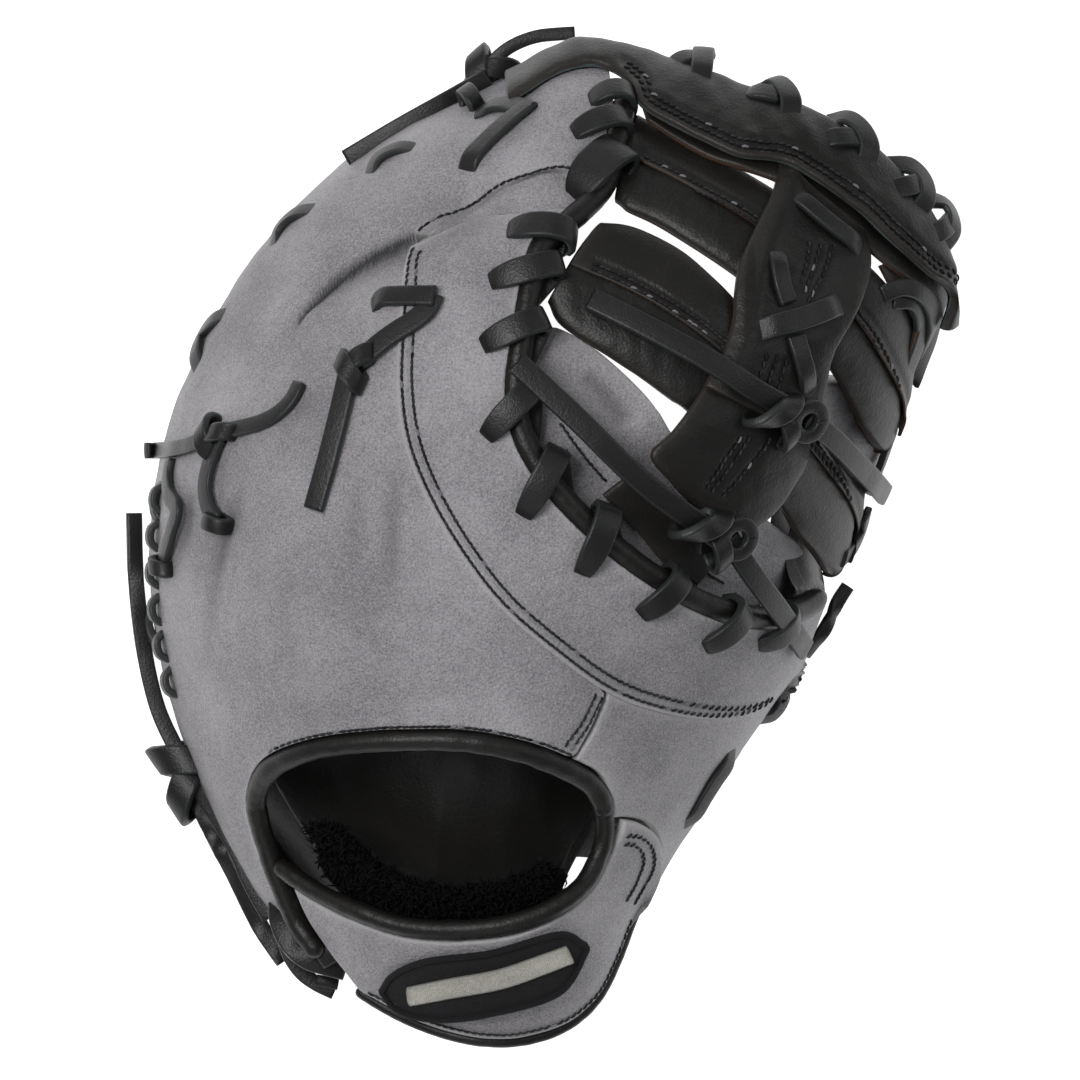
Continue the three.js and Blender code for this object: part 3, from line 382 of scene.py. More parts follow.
def leather_sheet(name, area, counts, top, thickness, materials, marks=(), rounding=0.8, relief=None):
    """A closed sheet over the dome, its edges rounded. Materials: face, raw edge and underside."""
    middle = np.linspace(0, 1, 60)
    mean = np.full(60, 0.5)
    long_side = lengths(place(area(middle, mean), 0))[-1]
    short_side = lengths(place(area(mean, middle), 0))[-1]
    u, v = np.meshgrid(shares(long_side, counts[0]), shares(short_side, counts[1]), indexing="ij")
    p = area(u, v)
    h = top(u, v, p) if callable(top) else np.full(u.shape, float(top))
    thick = thickness(u, v, p) if callable(thickness) else thickness
    inward = from_edges(place(p, h))
    drop = rounding * (1 - np.sqrt(1 - np.clip(1 - inward / rounding, 0, 1) ** 2))
    swell = relief(u, v, p) if relief else 0.0
    dent = pressed(p, marks)
    upper = place(p, h + swell - drop - dent)
    lower = place(p, h - thick + 0.5 * drop)
    rows, columns = u.shape
    index = np.arange(rows * columns).reshape(rows, columns)
    under = index + rows * columns

    def quads(a, b, c, d):
        return np.stack([x.ravel() for x in (a, b, c, d)], axis=1)

    face = quads(index[:-1, :-1], index[1:, :-1], index[1:, 1:], index[:-1, 1:])
    flesh = quads(under[:-1, :-1], under[:-1, 1:], under[1:, 1:], under[1:, :-1])
    walls = np.concatenate([
        quads(index[:-1, 0], under[:-1, 0], under[1:, 0], index[1:, 0]),
        quads(index[:-1, -1], index[1:, -1], under[1:, -1], under[:-1, -1]),
        quads(index[0, :-1], index[0, 1:], under[0, 1:], under[0, :-1]),
        quads(index[-1, :-1], under[-1, :-1], under[-1, 1:], index[-1, 1:]),
    ])
    corners = np.concatenate([upper.reshape(-1, 3), lower.reshape(-1, 3)])
    first = corners[face[len(face) // 2]]
    outward = np.cross(first[1] - first[0], first[2] - first[0])[2] > 0
    faces = np.concatenate([face, flesh, walls])
    if not outward:
        faces = faces[:, ::-1]
    slots = np.repeat([0, 2, 1], [len(face), len(flesh), len(walls)])
    worn = np.concatenate([np.exp(-inward / 1.3).ravel(), np.zeros(inward.size)])
    # Painted shade: the colour is darkened along the pressed creases, where shade falls in the valleys.
    painted_crease_shade = np.concatenate([(np.clip(dent / 1.6, 0, 1) ** 2.5).ravel(), np.zeros(inward.size)])
    piece = mesh_object(name, corners, faces, materials, slots, worn, painted_crease_shade)
    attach(piece, "root")
    return piece


def leather_grain():
    """Pebbled grain and uneven dye of tanned leather, as a tone from 0 to 1 and a height for a bump."""
    group = bpy.data.node_groups.new("leather grain", "ShaderNodeTree")
    sockets = group.interface
    for label, value in (("Pebbles", 900.0), ("Clouds", 22.0)):
        sockets.new_socket(label, in_out="INPUT", socket_type="NodeSocketFloat").default_value = value
    for label in ("Tone", "Height"):
        sockets.new_socket(label, in_out="OUTPUT", socket_type="NodeSocketFloat")
    make, link = group.nodes.new, group.links.new
    inlet, outlet = make("NodeGroupInput"), make("NodeGroupOutput")
    where = make("ShaderNodeTexCoord")

    def texture(kind, scale, **values):
        node = make(kind)
        link(where.outputs["Object"], node.inputs["Vector"])
        if isinstance(scale, (int, float)):
            node.inputs["Scale"].default_value = scale
        else:
            link(scale, node.inputs["Scale"])
        for socket, value in values.items():
            node.inputs[socket].default_value = value
        return node.outputs[0]

    def math_node(operation, a, b):
        node = make("ShaderNodeMath")
        node.operation = operation
        for socket, value in zip(node.inputs, (a, b)):
            if isinstance(value, (int, float)):
                socket.default_value = value
            else:
                link(value, socket)
        return node.outputs[0]

    clouds = texture("ShaderNodeTexNoise", inlet.outputs["Clouds"], Detail=4.0, Roughness=0.55)
    flecks = texture("ShaderNodeTexNoise", 420.0, Detail=3.0, Roughness=0.6)
    pores = texture("ShaderNodeTexNoise", 1900.0, Detail=2.0, Roughness=0.6)
    pebbles = texture("ShaderNodeTexVoronoi", inlet.outputs["Pebbles"], Randomness=1.0)
    mottle = math_node("ADD", math_node("MULTIPLY", clouds, 0.4), math_node("MULTIPLY", flecks, 0.1))
    link(math_node("ADD", mottle, math_node("MULTIPLY", pores, 0.5)), outlet.inputs["Tone"])
    rough = math_node("ADD", math_node("MULTIPLY", pebbles, 0.55), math_node("MULTIPLY", pores, 0.5))
    link(math_node("ADD", rough, math_node("MULTIPLY", flecks, 0.9)), outlet.inputs["Height"])
    return group


GRAIN = leather_grain()


def srgb(*levels):
    return tuple((c / 12.92 if c <= 0.04045 else ((c + 0.055) / 1.055) ** 2.4) for c in levels) + (1.0,)


def leather(name, dark, light, worn, roughness, bump, pebbles=900.0, clouds=22.0, sheen=0.0, gloss_level=0.35):
    """Grained leather between two dye colours, paler where its edges are worn, and darkened with painted shade along
    its creases.
    """
    material = bpy.data.materials.new(name)
    material.use_nodes = True
    nodes, link = material.node_tree.nodes, material.node_tree.links.new
    shader = nodes["Principled BSDF"]
    grain = nodes.new("ShaderNodeGroup")
    grain.node_tree = GRAIN
    grain.inputs["Pebbles"].default_value = pebbles
    grain.inputs["Clouds"].default_value = clouds
    tone = nodes.new("ShaderNodeValToRGB")
    tone.color_ramp.elements[0].position = 0.39
    tone.color_ramp.elements[0].color = dark
    tone.color_ramp.elements[1].position = 0.61
    tone.color_ramp.elements[1].color = light
    link(grain.outputs["Tone"], tone.inputs["Fac"])
    wear = nodes.new("ShaderNodeAttribute")
    wear.attribute_name = "worn"
    mix = nodes.new("ShaderNodeMix")
    mix.data_type = "RGBA"
    mix.inputs["B"].default_value = worn
    link(wear.outputs["Fac"], mix.inputs["Factor"])
    link(tone.outputs["Color"], mix.inputs["A"])
    crease_shade_reader = nodes.new("ShaderNodeAttribute")
    crease_shade_reader.attribute_name = "painted_crease_shade"
    # Painted shade: creases are mixed towards a fifth of the dark dye, standing in for the shade in them.
    shade = nodes.new("ShaderNodeMix")
    shade.data_type = "RGBA"
    shade.inputs["B"].default_value = tuple(0.22 * c for c in dark[:3]) + (1.0,)
    link(crease_shade_reader.outputs["Fac"], shade.inputs["Factor"])
    link(mix.outputs["Result"], shade.inputs["A"])
    link(shade.outputs["Result"], shader.inputs["Base Color"])
    gloss = nodes.new("ShaderNodeMapRange")
    gloss.inputs["From Min"].default_value = 0.35
    gloss.inputs["From Max"].default_value = 0.65
    gloss.inputs["To Min"].default_value = roughness[0]
    gloss.inputs["To Max"].default_value = roughness[1]
    link(grain.outputs["Tone"], gloss.inputs["Value"])
    link(gloss.outputs["Result"], shader.inputs["Roughness"])
    relief = nodes.new("ShaderNodeBump")
    relief.inputs["Strength"].default_value = bump
    relief.inputs["Distance"].default_value = 0.00036
    link(grain.outputs["Height"], relief.inputs["Height"])
    link(relief.outputs["Normal"], shader.inputs["Normal"])
    shader.inputs["Sheen Weight"].default_value = sheen
    shader.inputs["Specular IOR Level"].default_value = gloss_level
    return material


grey_leather = leather("grey_leather", srgb(0.40, 0.392, 0.405), srgb(0.60, 0.59, 0.602), srgb(0.64, 0.63, 0.635), (0.72, 0.58), 1.0)
grey_edge = leather("grey_cut_edge", srgb(0.56, 0.58, 0.56), srgb(0.68, 0.7, 0.68), srgb(0.66, 0.66, 0.66), (0.9, 0.85), 0.5)
grey_flesh = leather("grey_flesh_side", srgb(0.30, 0.30, 0.31), srgb(0.36, 0.36, 0.37), srgb(0.4, 0.4, 0.4), (0.95, 0.9), 0.6)
GREY = (grey_leather, grey_edge, grey_flesh)

opening = smooth(
    (-63.7, -118.8), (-70.6, -110.5), (-75.1, -102.3), (-79.7, -92.6), (-83.1, -82.1), (-83.7, -73.8), (-79.1, -66.1), (-67.7, -61.0), (-53.5, -58.7),
    (-39.2, -57.9), (-23.5, -58.2), (-7.9, -61.0), (4.1, -65.3), (12.1, -69.8), (16.1, -75.0), (17.2, -80.1),
)
crotch = smooth(
    (22.3, 126.5), (20.6, 118.0), (18.1, 108.6), (14.4, 99.2), (5.2, 89.5), (-1.9, 82.1), (-5.0, 70.2), (-7.0, 57.4), (-9.0, 43.1),
    (-7.6, 30.3), (-1.3, 18.1), (8.4, 6.7), (21.2, -4.7), (34.9, -14.1), (48.0, -20.6), (60.5, -23.7), (71.9, -22.3), (80.2, -17.5),
)
panel_seam = smooth(
    (-38.1, 82.4), (-40.1, 75.6), (-41.5, 58.8), (-42.1, 41.7), (-39.8, 25.8), (-33.5, 10.1), (-24.4, -5.2), (-13.3, -19.5), (1.0, -32.0),
    (16.9, -43.4), (32.0, -49.1), (47.7, -51.3), (61.4, -48.2), (72.2, -37.7),
)
finger_seam = smooth(
    (9.8, 102.3), (2.4, 103.8), (-5.0, 102.0), (-13.6, 98.6), (-20.4, 93.5), (-25.8, 91.0), (-31.2, 89.0), (-38.1, 84.4), (-45.5, 81.0),
    (-50.9, 77.9), (-56.3, 74.4), (-62.6, 69.6),
)
BACK_LEATHER = 2.8
GAP = 0.35
BINDING_SIDE = 3.5
WELT_SIDE = 3.9
LEATHER_SIDE = 3.0
back_inner = resample(np.concatenate([
    beside(opening, BINDING_SIDE, 0.02, share(opening, (5.2, -65.9))),
    smooth((8.1, -61.9), (12.1, -54.5), (16.4, -44.8)),
    beside(panel_seam, -GAP, share(panel_seam, (14.9, -42.2)), 0.004),
    smooth((-37.5, 85.0), (-30.7, 88.4), (-21.8, 91.8), (-15.6, 96.6), (-9.6, 100.1), (-3.9, 102.6), (1.2, 103.5), (8.1, 102.0)),
    beside(crotch, -LEATHER_SIDE, share(crotch, (12.6, 98.1)), 0.015),
]), 961)
back_marks = [
    (smooth((-35.2, 86.1), (-42.1, 83.3), (-49.2, 79.6), (-56.3, 75.3), (-63.4, 69.9), (-68.9, 64.5), (-72.3, 58.8)), 2.0, 0.85, 0.07),
    (smooth((-36.9, 84.4), (-42.1, 81.8), (-49.2, 77.9), (-56.3, 73.3), (-63.4, 67.9), (-68.9, 62.2)), 0.9, 2.4, 0.15),
    (smooth((8.1, 101.2), (1.2, 102.6), (-5.0, 101.5), (-15.6, 95.8), (-21.8, 91.0), (-30.7, 87.5)), 1.4, 1.5, 0.1),
    (smooth((-42.6, 31.8), (-43.2, 16.1), (-43.8, -1.0), (-44.1, -29.4)), 1.1, 3.2, 0.4),
    (smooth((-52.3, 27.5), (-54.0, 10.4), (-55.8, -18.0)), 0.8, 3.2, 0.4),
    (smooth((-84.8, 24.6), (-88.8, 10.4), (-93.4, -5.2), (-97.4, -28.0)), 1.3, 2.8, 0.4),
    (smooth((-97.9, 19.0), (-102.5, 7.6), (-105.3, -11.5)), 1.1, 2.6, 0.4),
    (smooth((-70.6, -46.5), (-73.4, -29.4), (-75.1, -15.2), (-74.6, -1.0)), 0.7, 5.0, 0.3),
    (smooth((-81.4, -29.4), (-83.1, -12.4), (-81.4, 10.4)), 0.7, 3.6, 0.4),
    (smooth((-100.2, -46.5), (-96.2, -29.4), (-94.5, -12.4)), 0.6, 4.0, 0.3),
    (smooth((-62.0, -43.7), (-42.1, -46.5), (-22.1, -43.7), (-7.9, -46.5)), 0.5, 4.0, 0.3),
    (smooth((-70.6, -52.2), (-47.8, -51.1), (-27.8, -52.8)), 0.35, 2.2, 0.3),
    (smooth((-43.2, -21.5), (-36.4, -27.7), (-29.0, -29.4), (-22.1, -32.8)), 0.35, 0.9, 0.3),
    (smooth((-40.9, -19.2), (-33.5, -23.7), (-25.5, -24.3)), 0.3, 0.8, 0.3),
    (smooth((-39.2, -29.4), (-31.2, -32.8), (-24.4, -36.3)), 0.3, 0.8, 0.3),
    (smooth((-88.8, 53.1), (-84.3, 52.5), (-79.1, 49.7)), 0.35, 0.8, 0.3),
    (smooth((-75.1, 58.8), (-73.4, 53.1), (-76.8, 46.8)), 0.3, 0.9, 0.3),
    (smooth((-2.2, -52.2), (2.4, -59.0), (4.1, -64.1)), 0.5, 2.2, 0.3),
]


def stepped(p, line, rise, wide):
    """A step where one leather laps over another: up on the right of a line, down on its left."""
    gap, where = near_line(p, line, 3 * wide)
    ahead = at(line, np.minimum(where + 0.01, 1)) - at(line, np.maximum(where - 0.01, 0))
    away = p - at(line, where)
    turn = ahead[..., 0] * away[..., 1] - ahead[..., 1] * away[..., 0]
    return -np.sign(turn) * rise * np.exp(-((gap / wide) ** 2)) * np.minimum(1, (1 - where) / 0.25)


back_panel = leather_sheet(
    "back_leather",
    field(rim_line(1, (-74.3, -114.0), (-113.3, 1.9), (16.1, 140.8)), back_inner),
    (240, 92),
    0.0,
    BACK_LEATHER,
    GREY,
    back_marks,
    relief=lambda u, v, p: 0.45 * ripples(p, 42.0, 4) + 0.16 * ripples(p, 14.0, 7) + stepped(p, finger_seam, 1.3, 7.0),
)
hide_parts("back_panel")

# Crotch panel: a curved piece of the same leather beside the web, sewn on with two rows of stitches.
crotch_panel = leather_sheet(
    "crotch_leather",
    field(
        beside(panel_seam, -0.7, 0.004, 1),
        beside(crotch, -LEATHER_SIDE, share(crotch, (6.9, 92.4)), share(crotch, (79.3, -18.0))),
        smooth((-38.1, 85.3), (-30.7, 88.7), (-23.3, 91.8), (-17.3, 93.2), (-7.0, 93.5), (-1.6, 94.4), (3.5, 94.6)),
    ),
    (188, 72),
    lambda u, v, p: 0.9 * np.exp(-((near_line(p, panel_seam, 14.0)[0] / 5.0) ** 2)),
    BACK_LEATHER,
    GREY,
    [(beside(panel_seam, 1.0, 0.01, 0.99), 0.35, 0.7, 0.03), (beside(panel_seam, 3.1, 0.01, 0.99), 0.35, 0.7, 0.03), (smooth((-33.5, 27.5), (-22.1, 1.9), (-2.2, -20.9), (20.6, -37.4)), 0.3, 3.0, 0.3)],
    relief=lambda u, v, p: 0.3 * ripples(p, 40.0, 11) + 0.1 * ripples(p, 13.0, 12),
)
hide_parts("crotch_panel")
gusset = leather_sheet(
    "finger_gusset",
    field(
        smooth((-39.8, 86.1), (-30.7, 90.4), (-21.0, 94.4), (-14.7, 98.9), (-9.0, 102.3), (-3.3, 104.9), (1.8, 105.7), (10.4, 103.8)),
        smooth((-39.8, 82.1), (-30.7, 85.8), (-21.0, 89.8), (-14.1, 91.5), (-7.0, 92.1), (-1.6, 92.7), (3.5, 92.9), (9.2, 96.1)),
    ),
    (80, 28),
    lambda u, v, p: -3.0 + 2.5 * np.sin(np.pi * np.clip(v * 1.25, 0, 1)) * (1 - 0.6 * u**3) * np.clip(u / 0.4, 0, 1) - 2.4 * np.clip(v - 0.6, 0, 1),
    2.0,
    GREY,
    relief=lambda u, v, p: 0.2 * ripples(p, 14.0, 13),
)

# Outer side of the thumb: grey leather from the seam down to the palm, with the strap sewn to its end.
thumb_seam = smooth((18.1, -80.1), (22.3, -80.1), (26.9, -81.2), (30.6, -84.1), (32.6, -89.2), (32.3, -95.5), (29.7, -102.9))
thumb_panel = leather_sheet(
    "thumb_leather",
    field(
        beside(panel_seam, -GAP, share(panel_seam, (17.8, -43.9)), 1),
        resample(np.concatenate([smooth((8.1, -63.3), (14.9, -67.3), (17.8, -73.5), (18.6, -78.7)), beside(thumb_seam, GAP)])),
        smooth((17.5, -44.8), (13.2, -54.8), (8.4, -62.7)),
        rim_line(EDGE, (72.5, -38.5), (30.9, -102.3)),
    ),
    (108, 64),
    0.0,
    BACK_LEATHER,
    GREY,
    [(smooth((43.4, -55.0), (37.7, -69.3), (33.2, -83.5)), 0.5, 5.0, 0.3)],
    relief=lambda u, v, p: 0.3 * ripples(p, 38.0, 21) + 0.1 * ripples(p, 12.0, 22),
)
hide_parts("thumb_panel")

# Wrist strap: grey leather over the hand's way in, from the little finger's side to the thumb.
strap_edge = smooth(
    (-78.6, -93.7), (-73.4, -97.4), (-65.4, -102.3), (-55.2, -106.8), (-42.1, -111.1), (-27.8, -112.2), (-12.1, -110.8), (1.2, -106.3), (10.9, -99.4),
    (15.5, -91.2), (17.2, -84.1), (16.6, -76.7),
)
heel_edge = rim_line(0.985, (-55.8, -131.9), (-25.0, -146.1), (29.2, -104.0))
strap_end = beside(thumb_seam, -GAP, 0.08, 0.98)
wrist_strap = leather_sheet(
    "strap_leather",
    field(
        resample(np.concatenate([
            beside(strap_edge, -BINDING_SIDE, share(strap_edge, (-71.7, -98.6)), share(strap_edge, (16.1, -89.2))),
            strap_end[:1],
        ])),
        beside(heel_edge, 2.4, 0.01, 0.99),
        smooth((-74.9, -99.4), (-71.1, -108.0), (-65.7, -116.8), (-57.5, -128.5)),
        strap_end,
    ),
    (144, 44),
    lambda u, v, p: 1.9 * np.clip((u - 0.9) / 0.08, 0, 1),
    BACK_LEATHER,
    GREY,
    [(beside(heel_edge, 5.4, 0.03, 0.97), 0.35, 1.6, 0.03)],
    relief=lambda u, v, p: 0.3 * ripples(p, 38.0, 31) + 0.1 * ripples(p, 12.0, 32),
)
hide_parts("wrist_strap")

# Patch on the strap: a plain lozenge of black felt, its rim whipped with black thread. A bar of pale thread
# is worked across it in satin stitch.
felt = leather("black_felt", srgb(0.06, 0.06, 0.065), srgb(0.1, 0.1, 0.11), srgb(0.12, 0.12, 0.13), (1.0, 0.95), 0.8, 1600.0)
patch = leather_sheet(
    "strap_patch",
    field(
        smooth((-46.3, -127.6), (-36.4, -119.9), (-16.4, -117.1), (2.1, -112.0), (9.8, -114.8)),
        smooth((-46.3, -129.0), (-34.9, -136.4), (-16.4, -134.7), (2.1, -129.0), (9.8, -117.7)),
    ),
    (86, 28),
    1.9,
    1.2,
    (felt, felt, felt),
    rounding=0.4,
)
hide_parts("strap_patch")
satin = leather("pale_thread", srgb(0.56, 0.55, 0.52), srgb(0.76, 0.75, 0.71), srgb(0.36, 0.355, 0.34), (0.42, 0.3), 0.2, 3000.0, gloss_level=0.6)
BAR_THREADS = 90
bar_line = smooth((-38.7, -129.6), (-27.8, -127.3), (-13.6, -124.5), (-2.2, -120.5), (5.2, -117.7), count=BAR_THREADS * 4)
threads = leather_sheet(
    "patch_thread_bar",
    field(beside(bar_line, 3.4), beside(bar_line, -3.4)),
    (BAR_THREADS * 4, 12),
    lambda u, v, p: 2.0 + 1.5 * np.sqrt(np.clip(1 - (2 * v - 1) ** 2, 0, 1)) + 0.13 * np.sin(2 * np.pi * (u * BAR_THREADS + 1.6 * v)),
    1.2,
    (satin, satin, satin),
    rounding=0.3,
)

# Black leather of the rolled edgings, the lining and the web.
black_leather = leather("black_leather", srgb(0.054, 0.051, 0.048), srgb(0.102, 0.095, 0.087), srgb(0.19, 0.178, 0.162), (0.5, 0.36), 0.34, 1100.0, 30.0, 0.0, 0.28)
black_edge = leather("black_cut_edge", srgb(0.14, 0.1, 0.08), srgb(0.3, 0.2, 0.15), srgb(0.28, 0.2, 0.16), (0.9, 0.85), 0.5, gloss_level=0.2)
teal_edge = leather("band_cut_edge", srgb(0.14, 0.16, 0.165), srgb(0.28, 0.31, 0.32), srgb(0.28, 0.31, 0.32), (0.9, 0.85), 0.7, gloss_level=0.2)
black_flesh = leather("black_flesh_side", srgb(0.05, 0.05, 0.05), srgb(0.08, 0.08, 0.08), srgb(0.1, 0.1, 0.1), (0.95, 0.9), 0.6, gloss_level=0.15)
BLACK = (black_leather, black_edge, black_flesh)


def swept(centres, sides, section, scale=None, close=True):
    """Corners, faces and wear of a body swept along centres. Section columns: sideways, upwards, wear."""
    centres = np.asarray(centres, float)
    tangent = unit(np.gradient(centres, axis=0))
    sides = np.broadcast_to(sides, centres.shape)
    side = unit(sides - tangent * (sides * tangent).sum(axis=1, keepdims=True))
    up = np.cross(side, tangent)
    section = np.array(section, float)
    size = np.ones((len(centres), 2)) if scale is None else np.asarray(scale, float)
    corners = (
        centres[:, None]
        + side[:, None] * (section[None, :, :1] * size[:, None, :1])
        + up[:, None] * (section[None, :, 1:2] * size[:, None, 1:])
    )
    rows, count = corners.shape[:2]
    index = np.arange(rows * count).reshape(rows, count)
    after = np.roll(index, -1, axis=1)
    faces = [tuple(f) for f in np.stack([index[:-1], after[:-1], after[1:], index[1:]], axis=-1).reshape(-1, 4)]
    corners = corners.reshape(-1, 3)
    wear = np.tile(section[:, 2], rows)
    ends = np.concatenate([corners, centres[:1], centres[-1:]])
    first, last = len(corners), len(corners) + 1
    faces += [(first, int(b), int(a)) for a, b in zip(index[0], after[0])]
    faces += [(last, int(a), int(b)) for a, b in zip(index[-1], after[-1])]
    return ends, faces, np.concatenate([wear, [1.0, 1.0]])


def joined_piece(name, parts, materials, node=None):
    """One piece made of several swept bodies."""
    corners, faces, wear, base = [], [], [], 0
    for more_corners, more_faces, more_wear in parts:
        corners.append(more_corners)
        wear.append(more_wear)
        faces += [tuple(int(i) + base for i in f) for f in more_faces]
        base += len(more_corners)
    piece = mesh_object(name, np.concatenate(corners), faces, materials, worn=np.concatenate(wear))
    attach(piece, "root")
    if node:
        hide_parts(node)
    return piece


def tube_section(diameter, sides=16):
    angle = 2 * np.pi * np.arange(sides) / sides
    return np.stack([np.cos(angle) * diameter / 2, np.sin(angle) * diameter / 2, np.zeros(sides)], axis=1)


def rolled_edging(name, line, depth, diameter, seed):
    """A rolled leather edging along a line: a tube that swells and wrinkles a little where the roll is pulled round."""
    line = resample(line, 321)
    depth = depth(line) if callable(depth) else depth
    size = 1 + 0.03 * ripples(line, 9.0, seed) + 0.02 * ripples(line, 4.0, seed + 1)
    ends = np.sqrt(np.clip(1 - (1 - np.minimum(lengths(line), lengths(line)[-1] - lengths(line)) / (diameter / 2)).clip(0, 1) ** 2, 0.02, 1))
    normal = dome_normal(line)
    side = np.cross(np.gradient(place(line, depth), axis=0), normal)
    part = swept(place(line, depth), side, tube_section(diameter), np.stack([size * ends] * 2, axis=1))
    return joined_piece(name, [part], [black_leather], name)


# Rolled edgings: black leather turned over the edges of the opening, the strap and the heel.
BINDING = 5.6
opening_binding = rolled_edging(
    "opening_binding", opening, lambda line: -BACK_LEATHER / 2 + 3.0 * np.clip(1 - lengths(line) / 34, 0, 1), BINDING + 0.6, 41
)
strap_binding = rolled_edging("strap_binding", strap_edge, -BACK_LEATHER / 2, BINDING, 43)
heel_binding = rolled_edging("heel_binding", heel_edge, -BACK_LEATHER / 2, 3.4, 45)
opening_binding.name, strap_binding.name, heel_binding.name = "opening_roll", "strap_roll", "heel_roll"

# Border of the patch: black thread whipped over the felt's rim.
PATCH_RIM = (
    smooth((-46.3, -128.2), (-42.6, -123.3), (-33.5, -119.4), (-16.4, -117.1), (2.1, -112.0), (9.2, -115.1)),
    smooth((-46.3, -128.2), (-41.5, -133.6), (-30.7, -136.1), (-16.4, -134.4), (2.1, -128.7), (9.2, -117.7), (9.2, -115.1)),
)
whipping = [
    swept(place(edge, 2.1), np.cross(np.gradient(place(edge, 2.1), axis=0), dome_normal(edge)), tube_section(1.9, 8),
          np.stack([1 + 0.1 * np.sin(np.arange(len(edge)) * 2.1)] * 2, axis=1))
    for edge in (resample(line, 400) for line in PATCH_RIM)
]
joined_piece("patch_border", whipping, [felt])

# Welt of the crotch: a thick leather roll that the web is laced to.
crotch_welt = rolled_edging("crotch_welt", crotch, -1.9, 7.0, 47)
crotch_welt.name = "crotch_roll"

# Palm: thick padded leather, from the heel to the finger tips, with a strip along the thumb's edge.
TUCK = ((91.3, 38.9), (78.2, -2.4), 15.0, 7.0)
BARED = ((101.0, 21.2), (96.4, 8.1), 8.3, 4.2)
ROOMS = [
    ((-62.0, -103.4), (-22.1, -6.7), 55.2, 40.0),
    ((-7.9, -103.4), (-22.1, -18.0), 55.2, 40.0),
    ((-42.1, -134.7), (-13.6, -131.9), 43.7, 46.0),
    ((-36.4, 4.7), (-62.0, 78.7), 39.1, 24.0),
    ((-27.8, 4.7), (-16.4, 104.3), 29.9, 24.0),
    ((3.5, -92.0), (52.0, -40.8), 25.3, 22.0),
]
PALM_PADDING = 6.5
PALM_GAP = 1.3


def capsule(p, start, end, radius, depth):
    d = np.minimum(to_segment(p, start, end) / radius, 1)
    return depth * (1 - d**3) ** 0.8


def palm_point(p, depth):
    drop = np.max([capsule(p, *room) for room in ROOMS], axis=0)
    points = place(p, -(BACK_LEATHER + PALM_GAP + capsule(p, *TUCK) - capsule(p, *BARED) + depth))
    points[..., 2] = np.maximum(points[..., 2] - drop, np.where(np.asarray(depth) > 0, 0, PALM_PADDING))
    return points


palm_outer = resample(np.concatenate([
    rim_line(1, (16.1, 140.8), (-113.3, 1.9), (-74.9, -113.4)),
    smooth((-70.6, -118.2), (-57.7, -127.6), (-42.1, -134.2), (-25.0, -135.3), (-12.1, -131.9), (-3.3, -119.1), (0.1, -104.0), (5.2, -94.3), (13.8, -92.6), (23.5, -96.0)),
    rim_line(1, (32.6, -98.3), (84.8, -15.2), (106.4, 38.9)),
]), 961)
palm_inner = resample(np.concatenate([
    beside(crotch, -WELT_SIDE, 0.01, 0.965),
    smooth((77.9, -23.2), (79.3, -18.6), (79.3, -10.9), (78.8, -2.4), (79.3, 7.0), (81.0, 16.1), (82.8, 24.6), (81.3, 33.2), (82.2, 40.0)),
]), 961)
palm_area = field(palm_outer, palm_inner)


# Share of the way round, from the finger tips past the heel, that is lined in black.
LINED = 0.955


def palm_mesh(name, steps_u, steps_v, upper, lower, materials):
    u, v = np.meshgrid(steps_u, steps_v, indexing="ij")
    p = palm_area(u, v)
    top, bottom = upper(p), lower(p)
    inward = from_edges(top)
    rows, columns = u.shape
    index = np.arange(rows * columns).reshape(rows, columns)
    under = index + rows * columns

    def quads(a, b, c, d):
        return np.stack([x.ravel() for x in (a, b, c, d)], axis=1)

    faces = np.concatenate([
        quads(index[:-1, :-1], index[1:, :-1], index[1:, 1:], index[:-1, 1:]),
        quads(under[:-1, :-1], under[:-1, 1:], under[1:, 1:], under[1:, :-1]),
        quads(index[:-1, 0], under[:-1, 0], under[1:, 0], index[1:, 0]),
        quads(index[:-1, -1], index[1:, -1], under[1:, -1], under[:-1, -1]),
        quads(index[0, :-1], index[0, 1:], under[0, 1:], under[0, :-1]),
        quads(index[-1, :-1], under[-1, :-1], under[-1, 1:], index[-1, 1:]),
    ])
    corners = np.concatenate([top.reshape(-1, 3), bottom.reshape(-1, 3)])
    worn = np.concatenate([np.exp(-inward / 1.3).ravel(), np.exp(-inward / 1.3).ravel()])
    lined = np.broadcast_to(np.asarray(steps_u)[:-1, None] < LINED, (rows - 1, columns - 1)).ravel()
    slots = np.zeros(len(faces), int)
    slots[: len(lined)] = lined
    piece = mesh_object(name, corners, faces[:, ::-1], materials, slots, worn)
    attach(piece, "root")
    return piece


def lower_palm(p):
    points = palm_point(p, PALM_PADDING + 0.5 * ripples(p, 34.0, 51))
    points[..., 2] = np.maximum(points[..., 2], 0.0)
    return points


inward_v = 1 - np.sin((1 - np.linspace(0, 1, 60)) * np.pi / 2)
palm = palm_mesh("palm_leather", np.linspace(0, 1, 270), inward_v, lambda p: palm_point(p, 0), lower_palm, [grey_leather, black_leather])
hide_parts("palm")

# Lining under the hand: soft black leather that lies on the palm inside the opening.
lining = palm_mesh(
    "lining_leather",
    np.linspace(21 / 48, 38 / 48, 160),
    1 - np.sin((1 - np.linspace(2 / 6, 5 / 6, 60)) * np.pi / 2),
    lambda p: palm_point(p, 0) + (0, 0, 2.2) + np.stack([0 * p[..., 0], 0 * p[..., 0], 0.4 * ripples(p, 16.0, 61)], axis=-1),
    lambda p: palm_point(p, 0) + (0, 0, 0.5),
    [black_leather, black_leather],
)
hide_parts("palm_lining")

